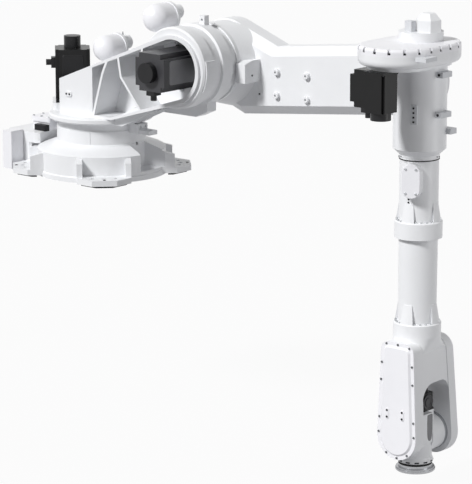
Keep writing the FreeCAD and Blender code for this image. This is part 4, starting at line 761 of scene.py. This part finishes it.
def plate(name, centre, out, up, half_width, low, high, powers, height, material, body, slot):
    """A flat plate: a superellipse outline in three rings, at the foot, the rim and the top.

    The outline has its own reach and its own power below and above the middle.
    """
    turn = np.linspace(0, 2 * math.pi, 65)[:-1]
    cosine, sine = np.cos(turn), np.sin(turn)
    power = np.where(sine >= 0, 2 / powers[1], 2 / powers[0])
    x = np.sign(cosine) * np.abs(cosine) ** power
    y = np.sign(sine) * np.abs(sine) ** power
    rings = []
    for inset, level in ((0.0, -SINK), (0.0, height - SINK), (ROLL, height)):
        reach = np.where(y >= 0, high - inset, low - inset)
        rings.append(np.stack([x * (half_width - inset), y * reach,
                               np.full(x.shape, level)], axis=-1))
    grids = carried(np.stack(rings), [centre], [np.cross(up, out)], [up], [out])
    return piece(name, *shells(grids), material, body, slot, 30.0)


SQUARE = (14, 14)
# A plate's share of its motor's length, and how far it lies off the middle, to the front.
PLATE_SHARE, PLATE_SHIFT = 0.36, 0.004
# The grey of the shoulder and elbow plates is painted light: the lighter look of a lit flank.
y = middle("shoulder_motor", 1) - PLATE_SHIFT
plate("shoulder_motor_plate", (SHOULDER.x + HALF["shoulder"], y, SHOULDER.z), X, Z,
      extent("shoulder_motor", 1) * PLATE_SHARE, 0.050, 0.050, SQUARE, 0.0015, painted_light_plate_grey,
      "column", "motor_paint")
tall = extent("waist_motor", 2) * 0.40
waist_side = WAIST_MOTOR_X * X - HALF["waist"] * across + middle("waist_motor", 2) * Z
plate("waist_motor_plate", waist_side, -across, Z, 0.046, tall, tall, SQUARE, 0.0020, nylon,
      "column", "motor_paint")
y = middle("elbow_motor", 1) - PLATE_SHIFT
plate("elbow_motor_plate", (ELBOW.x + HALF["elbow"], y, ELBOW.z), X, Z,
      extent("elbow_motor", 1) * PLATE_SHARE, 0.048, 0.048, SQUARE, 0.0015, painted_light_plate_grey,
      "forearm_housing", "motor_paint")
# This grey plate is partly the gearbox's own grey and partly painted shade on the housing's side.
plate("tilt_side_plate", (FOREARM_X + 0.0700, 0.0, TILT_Z + 0.050), X, Z, 0.0170, 0.060, 0.050,
      (2.6, 12), 0.0015, painted_light_plate_grey, "wrist_tilt", "motor_paint")

# %% [markdown]
# ## Brake cover of the hand motor
# In the wrist's window the round brake cover of the hand motor shows, with a groove and a
# raised centre. A turned part is a profile spun round an axis. The profile is a list of pairs,
# radius and level, that reads like the drawing a turner works from.

# %% A turned cover
TURNED_COLUMNS = 48
BRAKE_PROFILE = [(0.0310, -0.001), (0.0310, 0.0035), (0.0295, 0.0050), (0.0265, 0.0050),
                 (0.0265, 0.0035), (0.0200, 0.0035), (0.0190, 0.0065), (0.0150, 0.0065),
                 (0.0150, 0.0052), (0.0060, 0.0052)]


def lathe(name, centre, out, profile, material, body, slot):
    """A turned part: at each level along the axis, a circle of points of the given radius."""
    angle = np.arange(TURNED_COLUMNS) * 2 * math.pi / TURNED_COLUMNS
    radius, level = np.array(profile).T[:, :, None]
    local = np.stack([radius * np.cos(angle), radius * np.sin(angle), level + 0 * angle], axis=-1)
    grids = carried(local, [centre], *frames_along(np.array([out])))
    return piece(name, *shells(grids), material, body, slot, 30.0)


hand_face = (face("hand_motor", 0), middle("hand_motor", 1), middle("hand_motor", 2))
lathe("hand_motor_brake_cover", hand_face, X, BRAKE_PROFILE, motor_grey, "wrist_tilt",
      "motor_paint")

# %% [markdown]
# ## Cable connector
# The black connector that feeds the robot stands on the rear housing, against the gland box.
# It is a rounded nylon block, so the plate function makes it too, only thicker.

# %% Connector on the rear housing
connector = (face("rear_housing", 0) - 0.040, face("gland_box", 1, False) - 0.0150,
             face("rear_housing", 2))
plate("cable_connector", connector, Z, Y, 0.034, 0.0145, 0.0145, (9, 9), 0.026, nylon, "base",
      "plug_plastic")

# %% [markdown]
# ## Floor and white background
# The picture to match is a product cut-out: white behind the robot, with no horizon. A brighter
# world would give that and flood the object with light. So the world is a dim grey for
# lighting, and white only to the camera and in reflections, and the floor does the same, while
# it still takes the object's shadow faintly.

# %% Stage and world
FLOOR_Z, FLOOR_X, FLOOR_REACH, FLOOR_MOTTLE = -1.06, 0.7, 30, 0.4
# The share of plain white that the floor shows to the camera, and the light of the room.
FLOOR_WHITE, ROOM_LIGHT = 0.95, 0.20
WHITE = (1.0, 1.0, 1.0, 1.0)


def seen_white(tree, lit, plain_kind, white):
    """The lit shader for lighting, mixed with plain white for camera, glossy and clear rays."""
    path = add(tree, "LightPath").outputs
    glossy = add(tree, "Math", {
        0: path["Is Camera Ray"], 1: path["Is Glossy Ray"]}, operation="MAXIMUM")
    clear = add(tree, "Math", {
        0: glossy.outputs[0], 1: path["Is Transmission Ray"]}, operation="MAXIMUM")
    share = add(tree, "Math", {0: clear.outputs[0], 1: white}, operation="MULTIPLY")
    plain = add(tree, plain_kind, {"Color": WHITE, "Strength": 1.0})
    return add(tree, "MixShader", {
        0: share.outputs[0], 1: lit.outputs[0], 2: plain.outputs[0]}).outputs[0]


floor_material, tree, place = blank("pale_studio_floor")
shade = two_shades(tree, place, "#ABABAD", "#A3A3A6", FLOOR_MOTTLE)
lit = add(tree, "BsdfDiffuse", {"Color": shade})
add(tree, "OutputMaterial", {"Surface": seen_white(tree, lit, "Emission", FLOOR_WHITE)})
corners = [(-FLOOR_REACH, -FLOOR_REACH), (FLOOR_REACH, -FLOOR_REACH),
           (FLOOR_REACH, FLOOR_REACH), (-FLOOR_REACH, FLOOR_REACH)]
floor_mesh = bpy.data.meshes.new("studio_floor")
floor_mesh.from_pydata([(FLOOR_X + x, y, FLOOR_Z) for x, y in corners], [], [(0, 1, 2, 3)])
floor_mesh.materials.append(floor_material)
floor = bpy.data.objects.new("studio_floor", floor_mesh)
bpy.context.scene.collection.objects.link(floor)

world = bpy.data.worlds.new("studio_white")
bpy.context.scene.world = world
world.use_nodes = True
world.node_tree.nodes.clear()
room = add(world.node_tree, "Background", {"Color": WHITE, "Strength": ROOM_LIGHT})
surface = seen_white(world.node_tree, room, "Background", 1.0)
add(world.node_tree, "OutputWorld", {"Surface": surface})
print("floor at", FLOOR_Z, "m")

# %% [markdown]
# ## Lamps
# A large soft light from the camera's left lights the faces that look that way, and leaves the
# faces that turn right in grey shade. A sun with a wide angle gives that, evenly over 2 m of
# robot, where an area lamp would fade along it. One weak area lamp on the right draws a rim
# along the forearm, so that its edge doesn't melt into the white.

# %% Sun and rim lamp


def hang(name, data, aim, place=(0.0, 0.0, 0.0)):
    """Put a lamp in its place, turned so that it shines along the aim."""
    made = bpy.data.objects.new(name, data)
    made.location = place
    made.rotation_euler = aim.to_track_quat("-Z", "Y").to_euler()
    bpy.context.scene.collection.objects.link(made)
    print(name, round(data.energy, 2))


sun = bpy.data.lights.new("key_left", "SUN")
sun.energy, sun.angle = 3.25, math.radians(12)
hang("key_left", sun, Vector((0.17, 0.72, -0.67)))
rim = bpy.data.lights.new("rim_right", "AREA")
rim.shape, rim.size, rim.size_y, rim.energy = "RECTANGLE", 1.2, 2.4, 24
rim_place = Vector((4.4, 0.9, 0.3))
hang("rim_right", rim, Vector((1.7, 0.0, -0.3)) - rim_place, rim_place)

# %% [markdown]
# ## Camera
# The camera was worked out from the straight edges of the base, the column and the forearm: a
# long lens, far away and a little above, that leans slightly. The place and two directions say
# that exactly, and the third direction follows as their cross product.

# %% Camera
camera = bpy.data.cameras.new("photo_camera")
camera.lens, camera.sensor_fit, camera.sensor_width = 205.9, "HORIZONTAL", 36.0
camera.shift_x = -0.0403
eye = bpy.data.objects.new("photo_camera", camera)
look = Vector((-0.6310, 0.7440, -0.2198)).normalized()
top = Vector((-0.1422, 0.1676, 0.9755)).normalized()
right = look.cross(top).normalized()
turn = Matrix((right, right.cross(look), -look)).transposed()
eye.matrix_world = Matrix.Translation((7.914, -8.309, 2.268)) @ turn.to_4x4()
bpy.context.scene.collection.objects.link(eye)
bpy.context.scene.camera = eye
bpy.context.scene.view_settings.view_transform = "Standard"
print("camera at", [round(v, 2) for v in eye.matrix_world.translation])
